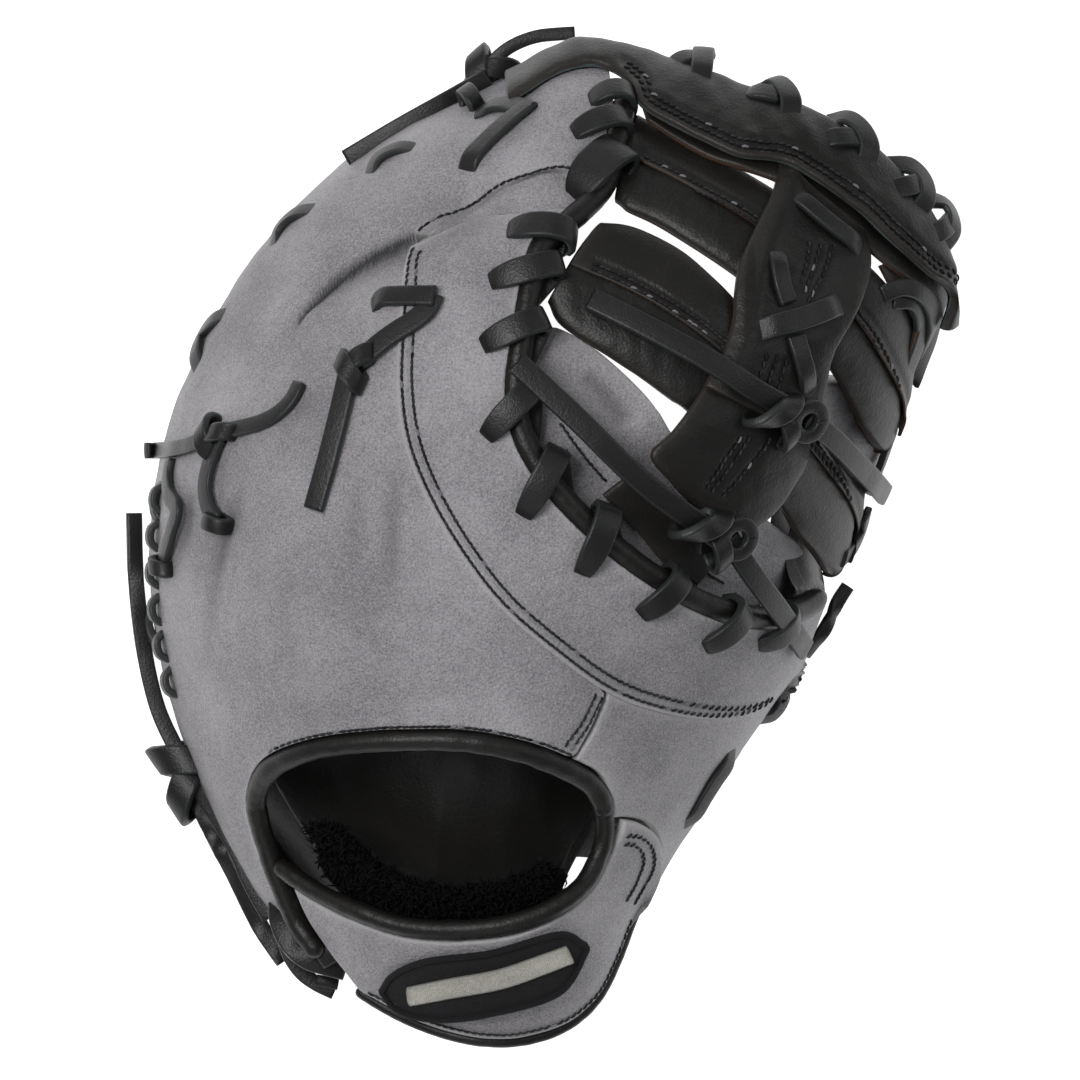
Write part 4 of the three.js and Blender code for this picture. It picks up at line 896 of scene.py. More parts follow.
# Web band: padded black leather along the top of the web, folded over the palm's edge.
band_rim = rim_line(0.98, (-11.3, 128.8), (54.8, 129.9), (114.7, 61.1))
band_inner = smooth(
    (-10.4, 122.5), (-5.0, 125.7), (1.2, 129.7), (7.5, 132.2), (13.8, 132.8), (19.5, 130.8), (23.5, 127.1), (26.3, 121.4), (34.3, 116.3), (45.1, 110.9), (54.3, 106.9),
    (65.7, 105.5), (75.3, 100.6), (87.3, 92.1), (94.7, 85.0), (103.3, 77.6), (107.6, 73.9), (111.8, 71.3), (114.1, 67.3), (114.4, 62.2),
)


def crowned(v, edge):
    return edge + (1 - edge) * np.sqrt(np.maximum(0, 1 - np.abs(2 * v - 1) ** 3))


BAND_BASE = 0.7
BAND_THICK = 3.6
band = leather_sheet(
    "web_band_leather",
    field(band_rim, band_inner),
    (216, 32),
    lambda u, v, p: BAND_BASE + BAND_THICK * crowned(v, 0.5),
    lambda u, v, p: BAND_THICK * crowned(v, 0.5),
    (black_leather, teal_edge, black_flesh),
    [(beside(band_inner, 2.6, 0.2, 0.98), 0.7, 1.0, 0.02), (beside(band_inner, 4.8, 0.2, 0.98), 0.7, 1.0, 0.02)],
    relief=lambda u, v, p: 0.35 * ripples(p, 17.0, 71) + 0.2 * ripples(p, 7.0, 72),
)
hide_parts("web_band")
band_lining = leather_sheet(
    "web_band_lining",
    field(
        rim_line(0.95, (26.3, 138.5), (80.5, 120.0), (116.7, 75.9), (106.4, 42.9)),
        smooth((28.6, 119.7), (45.1, 109.4), (65.7, 102.0), (83.3, 91.2), (92.7, 81.8), (101.9, 74.4), (107.8, 70.2), (110.1, 63.9), (109.3, 55.9), (106.7, 48.5), (103.8, 41.1)),
    ),
    (158, 22),
    -1.2,
    2.2,
    BLACK,
    relief=lambda u, v, p: 0.3 * ripples(p, 18.0, 73),
)
web_end = leather_sheet(
    "web_end_lining",
    field(
        rim_line(0.995, (113.3, 84.4), (116.7, 73.0), (107.8, 42.3)),
        smooth((97.0, 78.1), (100.7, 71.3), (104.1, 66.2), (106.7, 61.1), (107.8, 54.5), (107.3, 44.0)),
    ),
    (80, 18),
    lambda u, v, p: -0.4 - 3.4 * v,
    1.8,
    BLACK,
    relief=lambda u, v, p: 0.4 * ripples(p, 14.0, 74),
)

# Web bars: two padded rolls of black leather across the web, each with a stitched flap over its upper half.
BAR_BOTTOM = -9.2
BAR_THICK = 5.2
BAR_LIFT = 3.6


def sunk(line, depth):
    """The plan line whose points, at a depth under the dome, lie below the given line's points."""
    moved = line.copy()
    for _ in range(8):
        moved = moved + 0.7 * (line - place(moved, -depth)[:, :2])
    shift = moved - line
    shift = shift * np.minimum(1, 4.0 / np.maximum(np.linalg.norm(shift, axis=1), 1e-6))[:, None]
    near = np.pad(shift, ((20, 20), (0, 0)), mode="edge")
    shift = np.stack([np.convolve(near[:, k], np.ones(41) / 41, mode="valid") for k in (0, 1)], axis=1)
    q = line + shift - CROWN
    limit = 0.985 * read_round(REACH, q)
    return q * np.minimum(1, limit / np.linalg.norm(q, axis=1))[:, None] + CROWN


def bar_base(u):
    s = np.clip((u - 0.72) / 0.28, 0, 1)
    return BAR_BOTTOM + BAR_LIFT * s * s * (3 - 2 * s)


def web_bar(name, node, near, far, flap_edge, seed):
    roll = leather_sheet(
        name + "_roll",
        field(sunk(near, 7.0), sunk(far, 7.0)),
        (120, 30),
        lambda u, v, p: bar_base(u) + BAR_THICK * crowned(v, 0.35),
        lambda u, v, p: BAR_THICK * crowned(v, 0.35),
        BLACK,
        relief=lambda u, v, p: 0.25 * ripples(p, 20.0, seed) + 0.08 * ripples(p, 5.0, seed + 1),
    )
    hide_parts(node)
    flap = leather_sheet(
        name + "_flap",
        field(sunk(near, 6.0), sunk(flap_edge, 3.0)),
        (120, 18),
        lambda u, v, p: bar_base(u) + BAR_THICK * crowned(0.5 * v + 0.02, 0.35) + 1.3,
        1.2,
        BLACK,
        [(beside(sunk(flap_edge, 3.0), side, 0.03, 0.97), 0.5, 0.7, 0.02) for side in (2.0, 4.0)],
        rounding=0.4,
        relief=lambda u, v, p: 0.2 * ripples(p, 20.0, seed + 2),
    )
    return roll, flap


bar_outer_edge = smooth((21.2, 109.4), (40.6, 99.5), (59.1, 88.4), (71.9, 78.1), (83.3, 67.3), (91.3, 56.5), (96.4, 47.4), (99.3, 39.4), (99.0, 30.3))
bar_outer = web_bar(
    "outer_bar", "web_bar_outer",
    smooth((25.5, 120.0), (43.4, 110.0), (62.8, 98.9), (77.6, 88.4), (92.4, 75.3), (100.4, 67.9), (105.6, 60.2), (107.3, 53.1), (106.1, 45.7), (104.4, 38.9), (101.9, 32.0)),
    smooth((17.8, 96.9), (34.9, 86.7), (53.4, 74.4), (64.8, 64.5), (75.3, 54.5), (82.2, 46.8), (86.2, 39.4), (89.6, 31.8), (93.0, 26.3), (95.9, 24.1)),
    bar_outer_edge, 81,
)
bar_inner_edge = smooth((6.4, 77.0), (23.5, 69.6), (37.7, 61.1), (52.0, 49.7), (66.2, 34.3), (77.6, 21.2), (85.0, 10.4), (86.7, 1.9), (85.0, -6.7))
bar_inner = web_bar(
    "inner_bar", "web_bar_inner",
    smooth((14.6, 88.7), (26.6, 86.4), (40.0, 79.0), (54.0, 65.6), (64.8, 50.3), (75.3, 30.3), (86.2, 20.4), (92.4, 13.3), (91.9, 7.6), (89.6, 1.9), (87.0, -3.2)),
    smooth((0.1, 66.8), (4.1, 59.9), (17.8, 50.8), (29.2, 43.1), (40.6, 34.3), (54.8, 20.4), (67.7, 7.6), (71.9, 0.5), (77.1, -5.8), (79.9, -9.5), (82.2, -12.4)),
    bar_inner_edge, 91,
)

# Centre post and its foot: leather folded over the bars, sewn in rows and laced.
POST_BOTTOM = BAR_BOTTOM + BAR_THICK + 0.7
POST_THICK = 3.2
post_left = smooth((66.2, 107.2), (64.2, 98.9), (59.4, 88.7), (54.8, 78.1), (53.4, 70.2), (52.8, 61.6), (50.3, 53.1), (46.8, 46.8), (44.6, 42.6))
post_right = smooth((91.0, 87.3), (92.7, 80.7), (92.2, 73.6), (89.6, 65.6), (86.5, 59.1), (82.2, 51.1), (80.5, 44.0), (78.8, 35.5), (76.2, 26.6))
post_rows = [
    smooth((74.5, 84.4), (73.6, 78.1), (71.9, 71.6)), smooth((77.9, 83.6), (75.3, 75.9), (72.8, 69.0)), smooth((81.0, 83.0), (78.2, 74.4), (73.6, 66.2)),
    smooth((62.5, 52.0), (58.2, 40.3)), smooth((65.4, 51.1), (61.1, 38.9)), smooth((68.2, 50.3), (64.5, 38.3)),
]
post = leather_sheet(
    "web_post_leather",
    field(post_left, post_right),
    (94, 44),
    lambda u, v, p: POST_BOTTOM + POST_THICK * crowned(v, 0.55) + 1.5 * np.exp(-(((v - 0.16) / 0.13) ** 2)),
    lambda u, v, p: POST_THICK * crowned(v, 0.55),
    BLACK,
    [(row, 0.45, 0.7, 0.05) for row in post_rows] + [(smooth((59.7, 88.7), (58.2, 70.2), (57.1, 55.9)), 0.6, 2.0, 0.2)],
    relief=lambda u, v, p: 0.35 * ripples(p, 24.0, 101) + 0.1 * ripples(p, 6.0, 102),
)
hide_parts("web_post")
foot_rows = [smooth((55.1, 28.3), (49.7, 20.1), (44.9, 13.0)), smooth((57.7, 28.3), (52.0, 19.5), (46.3, 12.1)), smooth((63.7, 27.8), (56.3, 18.4), (49.4, 10.4))]
foot = leather_sheet(
    "web_post_foot_leather",
    field(
        smooth((46.8, 45.7), (42.3, 37.7), (35.7, 29.2), (29.7, 22.6), (35.7, 14.7), (41.7, 8.4)),
        smooth((78.2, 32.0), (75.3, 21.2), (71.4, 14.1), (67.4, 8.1), (63.7, 4.4), (58.5, 0.5)),
    ),
    (80, 44),
    lambda u, v, p: POST_BOTTOM - 2.2 * np.clip(1 - u / 0.3, 0, 1) + POST_THICK * crowned(v, 0.55),
    lambda u, v, p: POST_THICK * crowned(v, 0.55),
    BLACK,
    [(row, 0.45, 0.7, 0.05) for row in foot_rows],
    relief=lambda u, v, p: 0.3 * ripples(p, 22.0, 111) + 0.08 * ripples(p, 6.0, 112),
)
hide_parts("web_post_foot")

# Base of the web: a grey panel laced along the crotch, with a black tab sewn over its middle.
BASE_LEATHER = 2.6
BASE_BOTTOM = BAR_BOTTOM - BASE_LEATHER - 1.05
base_panel = leather_sheet(
    "web_base_leather",
    field(
        sunk(smooth(
            (-4.2, 54.5), (0.7, 59.4), (6.4, 57.7), (14.4, 52.5), (24.6, 43.4), (29.5, 38.0), (35.7, 28.3), (43.4, 17.0),
            (53.4, 9.8), (64.2, 4.4), (70.8, -0.1), (76.5, -3.8), (79.6, -8.4), (78.2, -13.5),
        ), BASE_BOTTOM * -0.8),
        sunk(beside(crotch, 0.5 * WELT_SIDE, share(crotch, (-7.3, 53.1)), share(crotch, (75.9, -20.3))), 8.0),
    ),
    (144, 32),
    BASE_BOTTOM + BASE_LEATHER,
    BASE_LEATHER,
    GREY,
    [(smooth((7.8, 50.3), (16.4, 43.1), (26.3, 30.3)), 1.2, 4.0, 0.2)],
    relief=lambda u, v, p: 0.35 * ripples(p, 22.0, 121),
)
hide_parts("web_base_panel")
tab = leather_sheet(
    "web_base_tab_leather",
    field(
        sunk(smooth((24.0, 17.8), (33.5, 8.4), (42.0, -0.1), (49.7, -7.5)), 7.0),
        sunk(smooth((15.8, 11.6), (26.3, 0.5), (34.3, -8.4), (43.4, -14.6)), 7.0),
    ),
    (64, 26),
    BASE_BOTTOM + BASE_LEATHER + 0.7 + 2.2,
    2.2,
    BLACK,
    relief=lambda u, v, p: 0.3 * ripples(p, 18.0, 131),
)
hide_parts("web_base_tab")

# Fleece under the strap: a strip of black pile, sewn along the strap's inner side.
FLEECE_DEPTH = -BACK_LEATHER - 1.3
FLEECE_PILE = 7.0
fleece_inner = smooth((-72.9, -84.6), (-63.4, -86.9), (-52.0, -96.6), (-39.2, -101.7), (-22.1, -102.9), (-5.0, -99.4), (2.4, -94.3))
fleece_outer = smooth((-67.2, -98.9), (-57.7, -108.5), (-44.9, -115.4), (-27.8, -117.7), (-10.7, -115.9), (3.5, -107.7), (9.8, -97.7))
fleece = leather("black_fleece", srgb(0.015, 0.015, 0.015), srgb(0.035, 0.035, 0.035), srgb(0.09, 0.09, 0.09), (1.0, 0.9), 0.4, 2000.0, gloss_level=0.1)


def tufts(area, count, seed):
    """Short curved locks of pile, as thin three-sided spikes that lean about."""
    draw = np.random.default_rng(seed)
    u, v = draw.uniform(0.01, 0.99, count), draw.uniform(0.0, 0.9, count) ** 1.3
    p = area(u, v)
    foot = place(p, FLEECE_DEPTH - FLEECE_PILE * draw.uniform(0.1, 0.75, count))
    lean = unit(draw.normal(0, 1, (count, 3)) + (0, 0, 0.9))
    tip = foot + lean * draw.uniform(2.0, 4.2, count)[:, None] * (1, 1, 0.7)
    bend = unit(draw.normal(0, 1, (count, 3)))
    middle = (foot + tip) / 2 + bend * 0.7
    side = unit(np.cross(lean, bend))
    other = np.cross(lean, side)
    corners, faces = [], []
    for ring, wide in ((foot, 0.42), (middle, 0.3)):
        for angle in (0, 2.09, 4.19):
            corners.append(ring + wide * (side * math.cos(angle) + other * math.sin(angle)))
    corners.append(tip)
    corners = np.stack(corners, axis=1)
    base = np.arange(count)[:, None] * 7
    quads = [(0, 1, 4, 3), (1, 2, 5, 4), (2, 0, 3, 5)]
    tris = [(3, 4, 6), (4, 5, 6), (5, 3, 6), (2, 1, 0)]
    for f in quads + tris:
        faces += [tuple(x) for x in (base + np.array(f)).tolist()]
    wear = np.tile([0.0, 0.0, 0.0, 0.2, 0.2, 0.2, 0.8], count)
    return corners.reshape(-1, 3), faces, wear


fleece_area = field(fleece_inner, fleece_outer)
strap_pile = joined_piece("fleece_pile", [tufts(fleece_area, 5000, 141)], [fleece], None)
strap_fleece = leather_sheet(
    "fleece_backing",
    fleece_area,
    (86, 22),
    lambda u, v, p: FLEECE_DEPTH - 1.2 - 5.0 * (1 - v) ** 2,
    lambda u, v, p: np.maximum(0.6, 5.6 - 5.0 * (1 - v) ** 2),
    (fleece, fleece, fleece),
    rounding=0.5,
)
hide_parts("strap_fleece")

# Stitches: waxed black thread, laid in rows of short slanted loops that lie pressed into the leather.
from mathutils import Vector
from mathutils.bvhtree import BVHTree

thread = leather("black_thread", srgb(0.03, 0.03, 0.035), srgb(0.1, 0.1, 0.11), srgb(0.5, 0.5, 0.52), (0.6, 0.5), 0.6, 3000.0, gloss_level=0.2)
STITCH_PITCH = 2.15


def surface_of(piece):
    graph = bpy.context.evaluated_depsgraph_get()
    return BVHTree.FromObject(piece, graph)


def onto(tree, p, above=25.0):
    """Where a line along the dome's normal first meets a piece, and the way out of it there. None where it misses."""
    start = place(p, above) * MM
    way = -dome_normal(p)
    found = [tree.ray_cast(Vector(a), Vector(b), 0.08) for a, b in zip(start, way)]
    return [(np.array(hit[0]) / MM, np.array(hit[1])) if hit[0] else None for hit in found]


def stitch_parts(tree, line, seed, pitch=STITCH_PITCH, long=2.1, wide=0.78):
    """Small rounded loops of thread along a line on a piece."""
    draw = np.random.default_rng(seed)
    count = max(2, int(lengths(place(line, 0))[-1] / pitch))
    u = (np.arange(count) + 0.5) / count
    p = at(line, u)
    ahead = unit(at(line, np.minimum(u + 0.01, 1)) - at(line, np.maximum(u - 0.01, 0)))
    parts = []
    ring = tube_section(1.0, 6)
    for k, hit in enumerate(onto(tree, p)):
        if hit is None:
            continue
        spot, out = hit
        way = np.array([*ahead[k], 0.0])
        way = unit(way - out * (way @ out))
        side = np.cross(out, way)
        way = unit(way + side * draw.normal(0.12, 0.05))
        side = np.cross(out, way)
        reach = np.array([-1.0, -0.82, -0.45, 0.0, 0.45, 0.82, 1.0]) * long / 2
        lift = np.array([-0.25, 0.05, 0.22, 0.28, 0.22, 0.05, -0.25])
        size = np.array([0.35, 0.8, 1.0, 1.05, 1.0, 0.8, 0.35]) * wide
        centres = spot + way * reach[:, None] + out * (lift + 0.12)[:, None]
        corners, faces, wear = swept(centres, np.broadcast_to(side, centres.shape), ring, np.stack([size, size * 0.8], axis=1))
        light = 0.7 if draw.uniform() < 0.07 else draw.uniform(0, 0.1)
        parts.append((corners, faces, np.full(len(corners), light)))
    return parts


def stitching(name, rows):
    parts = []
    for k, (piece, line) in enumerate(rows):
        parts += stitch_parts(surface_of(piece), line, 150 + k)
    return joined_piece(name, parts, [thread])


seam_stitches = stitching("panel_seam_stitches", [
    (crotch_panel, beside(panel_seam, 1.0, 0.004, 0.945)),
    (crotch_panel, beside(panel_seam, 3.9, 0.004, 0.94)),
    (back_panel, beside(smooth((16.1, -45.7), (11.5, -54.5), (6.9, -61.0)), -0.9)),
    (back_panel, beside(smooth((16.1, -45.7), (11.5, -54.5), (6.9, -61.0)), -3.2)),
    (wrist_strap, smooth((20.9, -84.1), (24.6, -84.6), (27.8, -87.5), (28.9, -92.6), (27.5, -98.9), (24.6, -104.6))),
    (wrist_strap, smooth((20.6, -86.6), (23.5, -87.2), (25.8, -89.8), (26.3, -93.7), (24.9, -98.9), (22.3, -103.7))),
    (back_panel, beside(opening, BINDING_SIDE + 0.7, share(opening, (-77.4, -65.0)), share(opening, (5.2, -65.9)))),
    (wrist_strap, beside(heel_edge, 4.6, 0.03, 0.93)),
])
finger_stitches = stitching("finger_seam_stitches", [
    (back_panel, beside(finger_seam, -0.9, 0.02, 0.62)),
])
band_stitches = stitching("band_stitches", [
    (band, beside(band_inner, 2.6, 0.22, 0.94)), (band, beside(band_inner, 4.8, 0.22, 0.94)),
])
bar_stitches = stitching("bar_stitches", [
    (bar_outer[1], beside(bar_outer_edge, 2.0, 0.05, 0.95)), (bar_outer[1], beside(bar_outer_edge, 4.0, 0.05, 0.95)),
    (bar_inner[1], beside(bar_inner_edge, 2.0, 0.05, 0.95)), (bar_inner[1], beside(bar_inner_edge, 4.0, 0.05, 0.95)),
])
post_stitches = stitching("post_stitches", [(post, row) for row in post_rows] + [(foot, row) for row in foot_rows])
base_stitches = stitching("base_stitches", [
    (base_panel, smooth((4.1, 32.9), (11.5, 22.4), (18.9, 14.1))), (base_panel, smooth((10.1, 29.8), (16.1, 22.9), (22.3, 17.2))),
    (base_panel, smooth((48.0, -10.4), (52.8, -13.8), (57.1, -16.3))),
])

# Laces: flat black rawhide, cut from the hide with paler fuzzy sides.
lace_leather = leather("black_lace", srgb(0.042, 0.042, 0.042), srgb(0.08, 0.08, 0.079), srgb(0.15, 0.16, 0.16), (0.5, 0.36), 0.3, 1500.0, 60.0, 0.0, 0.36)
LACE_WIDE = 6.0
LACE_THICK = 2.0


def lace_section(wide=LACE_WIDE, thick=LACE_THICK):
    w, t = wide / 2, thick / 2
    half = [(w, 0.0, 1), (w, 0.55 * t, 1), (w - 0.15, 0.85 * t, 0.8), (w - 0.45, t, 0.25), (w - 0.9, 1.02 * t, 0),
            (0.4 * w, 1.08 * t, 0), (0.0, 1.1 * t, 0)]
    upper = half + [(-s, h, c) for s, h, c in half[-2::-1]]
    return upper + [(s, -h, c) for s, h, c in upper[-2:0:-1]]


def through(points, count):
    """A smooth line in space through a few points, evenly spaced."""
    return smooth(*points, count=count)


def lace(points, wide=LACE_WIDE, thick=LACE_THICK, flat=0.0, scale=None, free=False):
    """A lace along plan points with heights over the dome. Columns: x, y, height, and roll in degrees if it twists.
    Flat turns its face from the dome's normal, at 0, to straight up, at 1. A free lace's heights are over the table."""
    table = np.array([tuple(p) + (0.0,) * (4 - len(p)) for p in points], float)
    run = lengths(table[:, :2])[-1]
    line = smooth(*table, count=max(4, int(run / 4.5) + 1))
    centres = line[:, :3].copy() if free else place(line[:, :2], line[:, 2])
    centres[:, 2] = np.maximum(centres[:, 2], wide / 2 + 0.4)
    normal = unit(dome_normal(line[:, :2]) * (1 - flat) + np.array([0, 0, flat]))
    tangent = unit(np.gradient(centres, axis=0))
    side = unit(np.cross(tangent, normal))
    roll = np.radians(line[:, 3])[:, None]
    side = side * np.cos(roll) + np.cross(tangent, side) * np.sin(roll)
    for k in range(1, len(side)):
        if side[k] @ side[k - 1] < 0:
            side[k] = -side[k]
    count = max(12, int(lengths(centres)[-1] / 0.9))
    fine = through(centres, count)
    share_of = lengths(centres) / lengths(centres)[-1]
    fine_side = np.stack([np.interp(np.linspace(0, 1, count), share_of, side[:, k]) for k in range(3)], axis=1)
    return swept(fine, unit(fine_side), lace_section(wide, thick), scale)


def arch(a, b, low, high, wide=7.0, thick=LACE_THICK, skew=0.5):
    """A lace that comes up at plan point a, passes over and goes down at b."""
    a, b = np.array(a, float), np.array(b, float)
    start, end = place(a, 0), place(b, 0)
    up = unit(dome_normal(a) + dome_normal(b))
    across = end - start
    side = unit(np.cross(across, up))
    shape = [(0.05, low - 2.6), (0.0, low - 0.8), (0.06, low + 0.35 * (high - low)), (skew * 0.55, low + 0.8 * (high - low)),
             (skew, high), (1 - 0.5 * (1 - skew), low + 0.95 * (high - low)), (0.96, low + 0.5 * (high - low)), (1.0, low - 1.8), (0.9, low - 5.0)]
    centres = through([start + across * t + up * h for t, h in shape], 60)
    u = np.linspace(0, 1, len(centres))
    size = 0.42 + 0.6 * np.sin(np.pi / 2 * np.clip(u * 2.4, 0, 1)) ** 0.8 - 0.14 * np.clip(u - 0.8, 0, 1) / 0.2
    return swept(centres, side, lace_section(wide, thick), np.stack([size, np.ones(len(u))], axis=1))


def coil(centre, heading, height, across=5.2, rise=3.8, wide=5.6, turns=1.3, pitch=2.6, start=-0.2, thick=2.2, tilt=0.0, free=None):
    """A lace wound round an axis that runs along a heading in degrees, as the turn of a knot is.
    A free one leans the given way and its height is over the table."""
    centre = np.array(centre, float)
    up = dome_normal(centre) if free is None else unit(np.array(free, float))
    ahead = math.radians(heading)
    axis = np.array([math.cos(ahead), math.sin(ahead), 0.0])
    axis = unit(axis - up * (axis @ up))
    left = np.cross(up, axis)
    lean = unit(axis + left * tilt)
    angle = 2 * np.pi * np.linspace(start, start + turns, 56)
    middle = place(centre, height) if free is None else np.array([*centre, height])
    swing = (angle / (2 * np.pi) - start - turns / 2)[:, None]
    centres = middle + axis * (pitch * swing) + left * (across * np.cos(angle))[:, None] + up * (rise * np.sin(angle))[:, None]
    centres = centres + axis * (tilt * across * np.cos(angle))[:, None]
    return swept(centres, lean, lace_section(wide, thick))


# Lace of the crotch: one long lace wound round the welt through holes in the crotch panel.
CROTCH_LOOPS = [
    ((12.6, 124.0), (24.0, 124.5), 7.2), ((7.8, 114.6), (22.3, 118.0), 7.4), ((-10.7, 86.4), (6.9, 85.5), 8.0), ((-15.6, 72.2), (3.5, 77.0), 7.6),
    ((-17.8, 54.2), (-1.0, 61.4), 7.6), ((-17.0, 28.6), (-3.9, 42.3), 7.6), ((-6.7, 6.4), (3.0, 24.1), 7.6), ((9.8, -10.1), (17.2, 8.1), 7.6),
    ((26.6, -21.7), (37.7, -10.6), 7.4), ((44.9, -31.1), (55.4, -19.8), 7.4), ((60.5, -30.6), (69.6, -21.5), 7.0),
]
loops = [arch(a, b, -0.6, 4.0, wide, 2.3) for a, b, wide in CROTCH_LOOPS]
loops.append(arch((8.4, 98.1), (21.2, 110.0), -1.0, 3.6, 12.0, 2.6, 0.4))
for (a, b, _), (c, d, _) in zip(CROTCH_LOOPS[:-1], CROTCH_LOOPS[1:]):
    loops.append(lace([(*b, -5.0), (*(0.5 * np.add(b, c)), -7.5), (*c, -5.5)], 6.0))
crotch_lace = joined_piece("crotch_lacing", loops, [lace_leather], "crotch_lace")

# Lace of the band: it comes up beside the edge, turns over it and goes down farther along.
BAND_LOOPS = [
    [((42.9, 126.0), 1.5), ((43.1, 128.8), 4.6), ((44.0, 133.4), 4.9), ((44.6, 136.5), 3.0), ((44.9, 137.9), -1.0)],
    [((67.9, 115.1), 1.5), ((68.5, 119.1), 5.0), ((66.2, 124.2), 5.2), ((62.5, 127.1), 3.4), ((59.7, 127.4), 0.0)],
    [((88.7, 103.2), 1.5), ((89.3, 108.0), 5.0), ((86.7, 113.4), 5.2), ((82.8, 117.1), 3.4), ((79.9, 117.7), 0.0)],
    [((103.0, 90.7), 1.5), ((104.4, 94.6), 4.8), ((103.3, 100.3), 4.8), ((100.1, 104.3), 3.2), ((97.0, 105.5), 0.0)],
    [((110.1, 81.6), 1.5), ((111.8, 85.5), 4.2), ((111.3, 90.7), 4.2), ((109.3, 94.6), 3.0), ((106.7, 96.4), 0.0)],
]
BAND_UNDER = [
    [((35.4, 133.4), 1.0), ((38.3, 133.6), 3.4), ((42.3, 133.9), 3.4)],
    [((56.0, 124.5), 1.5), ((59.4, 123.1), 4.6), ((65.1, 122.0), 4.6)],
    [((77.6, 111.2), 1.5), ((81.0, 110.9), 4.6), ((86.7, 110.6), 4.6)],
    [((95.6, 97.5), 1.5), ((99.0, 97.8), 4.4), ((103.0, 98.6), 4.4)],
    [((106.7, 85.0), 1.5), ((109.0, 86.1), 4.0), ((111.3, 88.4), 4.0)],
]
band_lace = joined_piece(
    "band_lacing",
    [lace([(*p, h) for p, h in loop], 6.2) for loop in BAND_LOOPS] + [lace([(*p, h) for p, h in run], 6.0) for run in BAND_UNDER],
    [lace_leather],
    "band_lace",
)

# Laces of the post.
ON_POST = POST_BOTTOM + POST_THICK + 1.2
for name, node, points, wide in (
    ("post_lace_1", "post_lace_top", [((69.4, 97.8), ON_POST - 2.4), ((71.1, 95.8), ON_POST), ((79.3, 88.4), ON_POST + 1.0), ((87.0, 83.0), ON_POST), ((89.0, 81.6), ON_POST - 2.4)], 5.0),
    ("post_lace_2", "post_lace_left", [((65.1, 81.6), ON_POST - 2.4), ((64.8, 79.3), ON_POST), ((65.7, 71.9), ON_POST + 0.8), ((67.9, 65.6), ON_POST)], 5.0),
    ("post_lace_3", "post_lace_middle", [((59.7, 58.2), ON_POST - 1.6), ((61.7, 58.8), ON_POST + 0.4), ((71.9, 61.6), ON_POST + 2.0), ((80.5, 65.1), ON_POST + 0.6), ((82.8, 65.9), ON_POST - 2.2)], 6.4),
    ("post_lace_4", "post_lace_low", [((69.9, 57.1), ON_POST - 0.6), ((71.1, 52.5), ON_POST), ((72.2, 47.4), ON_POST + 0.4), ((73.6, 43.4), ON_POST - 0.4), ((74.5, 41.4), ON_POST - 2.4)], 5.4),
):
    joined_piece(name, [lace([(*p, h) for p, h in points], wide)], [lace_leather], node)

# Short runs of lace that show on the back, each going down into the leather at both ends.
ON_BACK = 0.9
for name, points in (
    ("finger_lace_a", ((-51.5, 103.2), (-45.5, 108.6), (-36.7, 110.9))),
    ("finger_lace_b", ((-79.1, 82.4), (-74.0, 89.5), (-66.6, 94.1))),
    ("finger_lace_c", ((-100.5, 48.0), (-98.2, 56.8), (-92.0, 64.2))),
    ("pinky_lace_a", ((-109.9, 16.1), (-111.0, 9.8), (-111.3, 3.6))),
    ("pinky_lace_b", ((-113.3, -19.8), (-112.5, -26.0), (-111.0, -32.3))),
    ("thumb_lace_a", ((53.1, -60.7), (45.7, -71.0), (38.9, -82.9))),
    ("thumb_lace_b", ((67.9, -43.7), (65.1, -48.2), (61.7, -52.8))),
):
    a, b, c = (np.array(x) for x in points)
    run = [(*a, -1.6), (*(a * 0.88 + b * 0.12), ON_BACK - 0.3), (*b, ON_BACK + 0.4), (*(c * 0.88 + b * 0.12), ON_BACK - 0.3), (*c, -1.6)]
    joined_piece(name + "_run", [lace(run, 5.4, flat=0.3 if name.startswith("thumb") else 0.0)], [lace_leather], name)

def ring(centre, height, radius=4.6, wide=4.2, thick=3.4):
    """The eye of a knot: the lace bent round in a flat ring."""
    centre = np.array(centre, float)
    up = dome_normal(centre)
    east = unit(np.cross((0.0, 1.0, 0.0), up))
    north = np.cross(up, east)
    angle = np.linspace(0, 2 * np.pi * 1.04, 60)[:, None]
    outward = east * np.cos(angle) + north * np.sin(angle)
    centres = place(centre, height) + outward * radius + up * (0.5 * np.sin(angle + 0.8))
    return swept(centres, outward, lace_section(wide, thick))


# Knots: overhand knots with their free tails, tied where a lace ends. The turns are wound round the lace.
def knot(centre, heading, height, size=1.0):
    """An overhand knot in a flat lace that runs along a heading in degrees: one turn round it and one across."""
    centre = np.array(centre, float)
    ahead = math.radians(heading)
    way = np.array([math.cos(ahead), math.sin(ahead)])
    return [
        coil(centre - way * 1.4 * size, heading, height, 4.7 * size, 3.6 * size, 5.6 * size, 1.15, 2.0, -0.3, tilt=0.35),
        coil(centre + way * 1.8 * size, heading + 62, height, 4.4 * size, 3.0 * size, 5.2 * size, 1.1, 1.6, -0.25, tilt=-0.3),
    ]


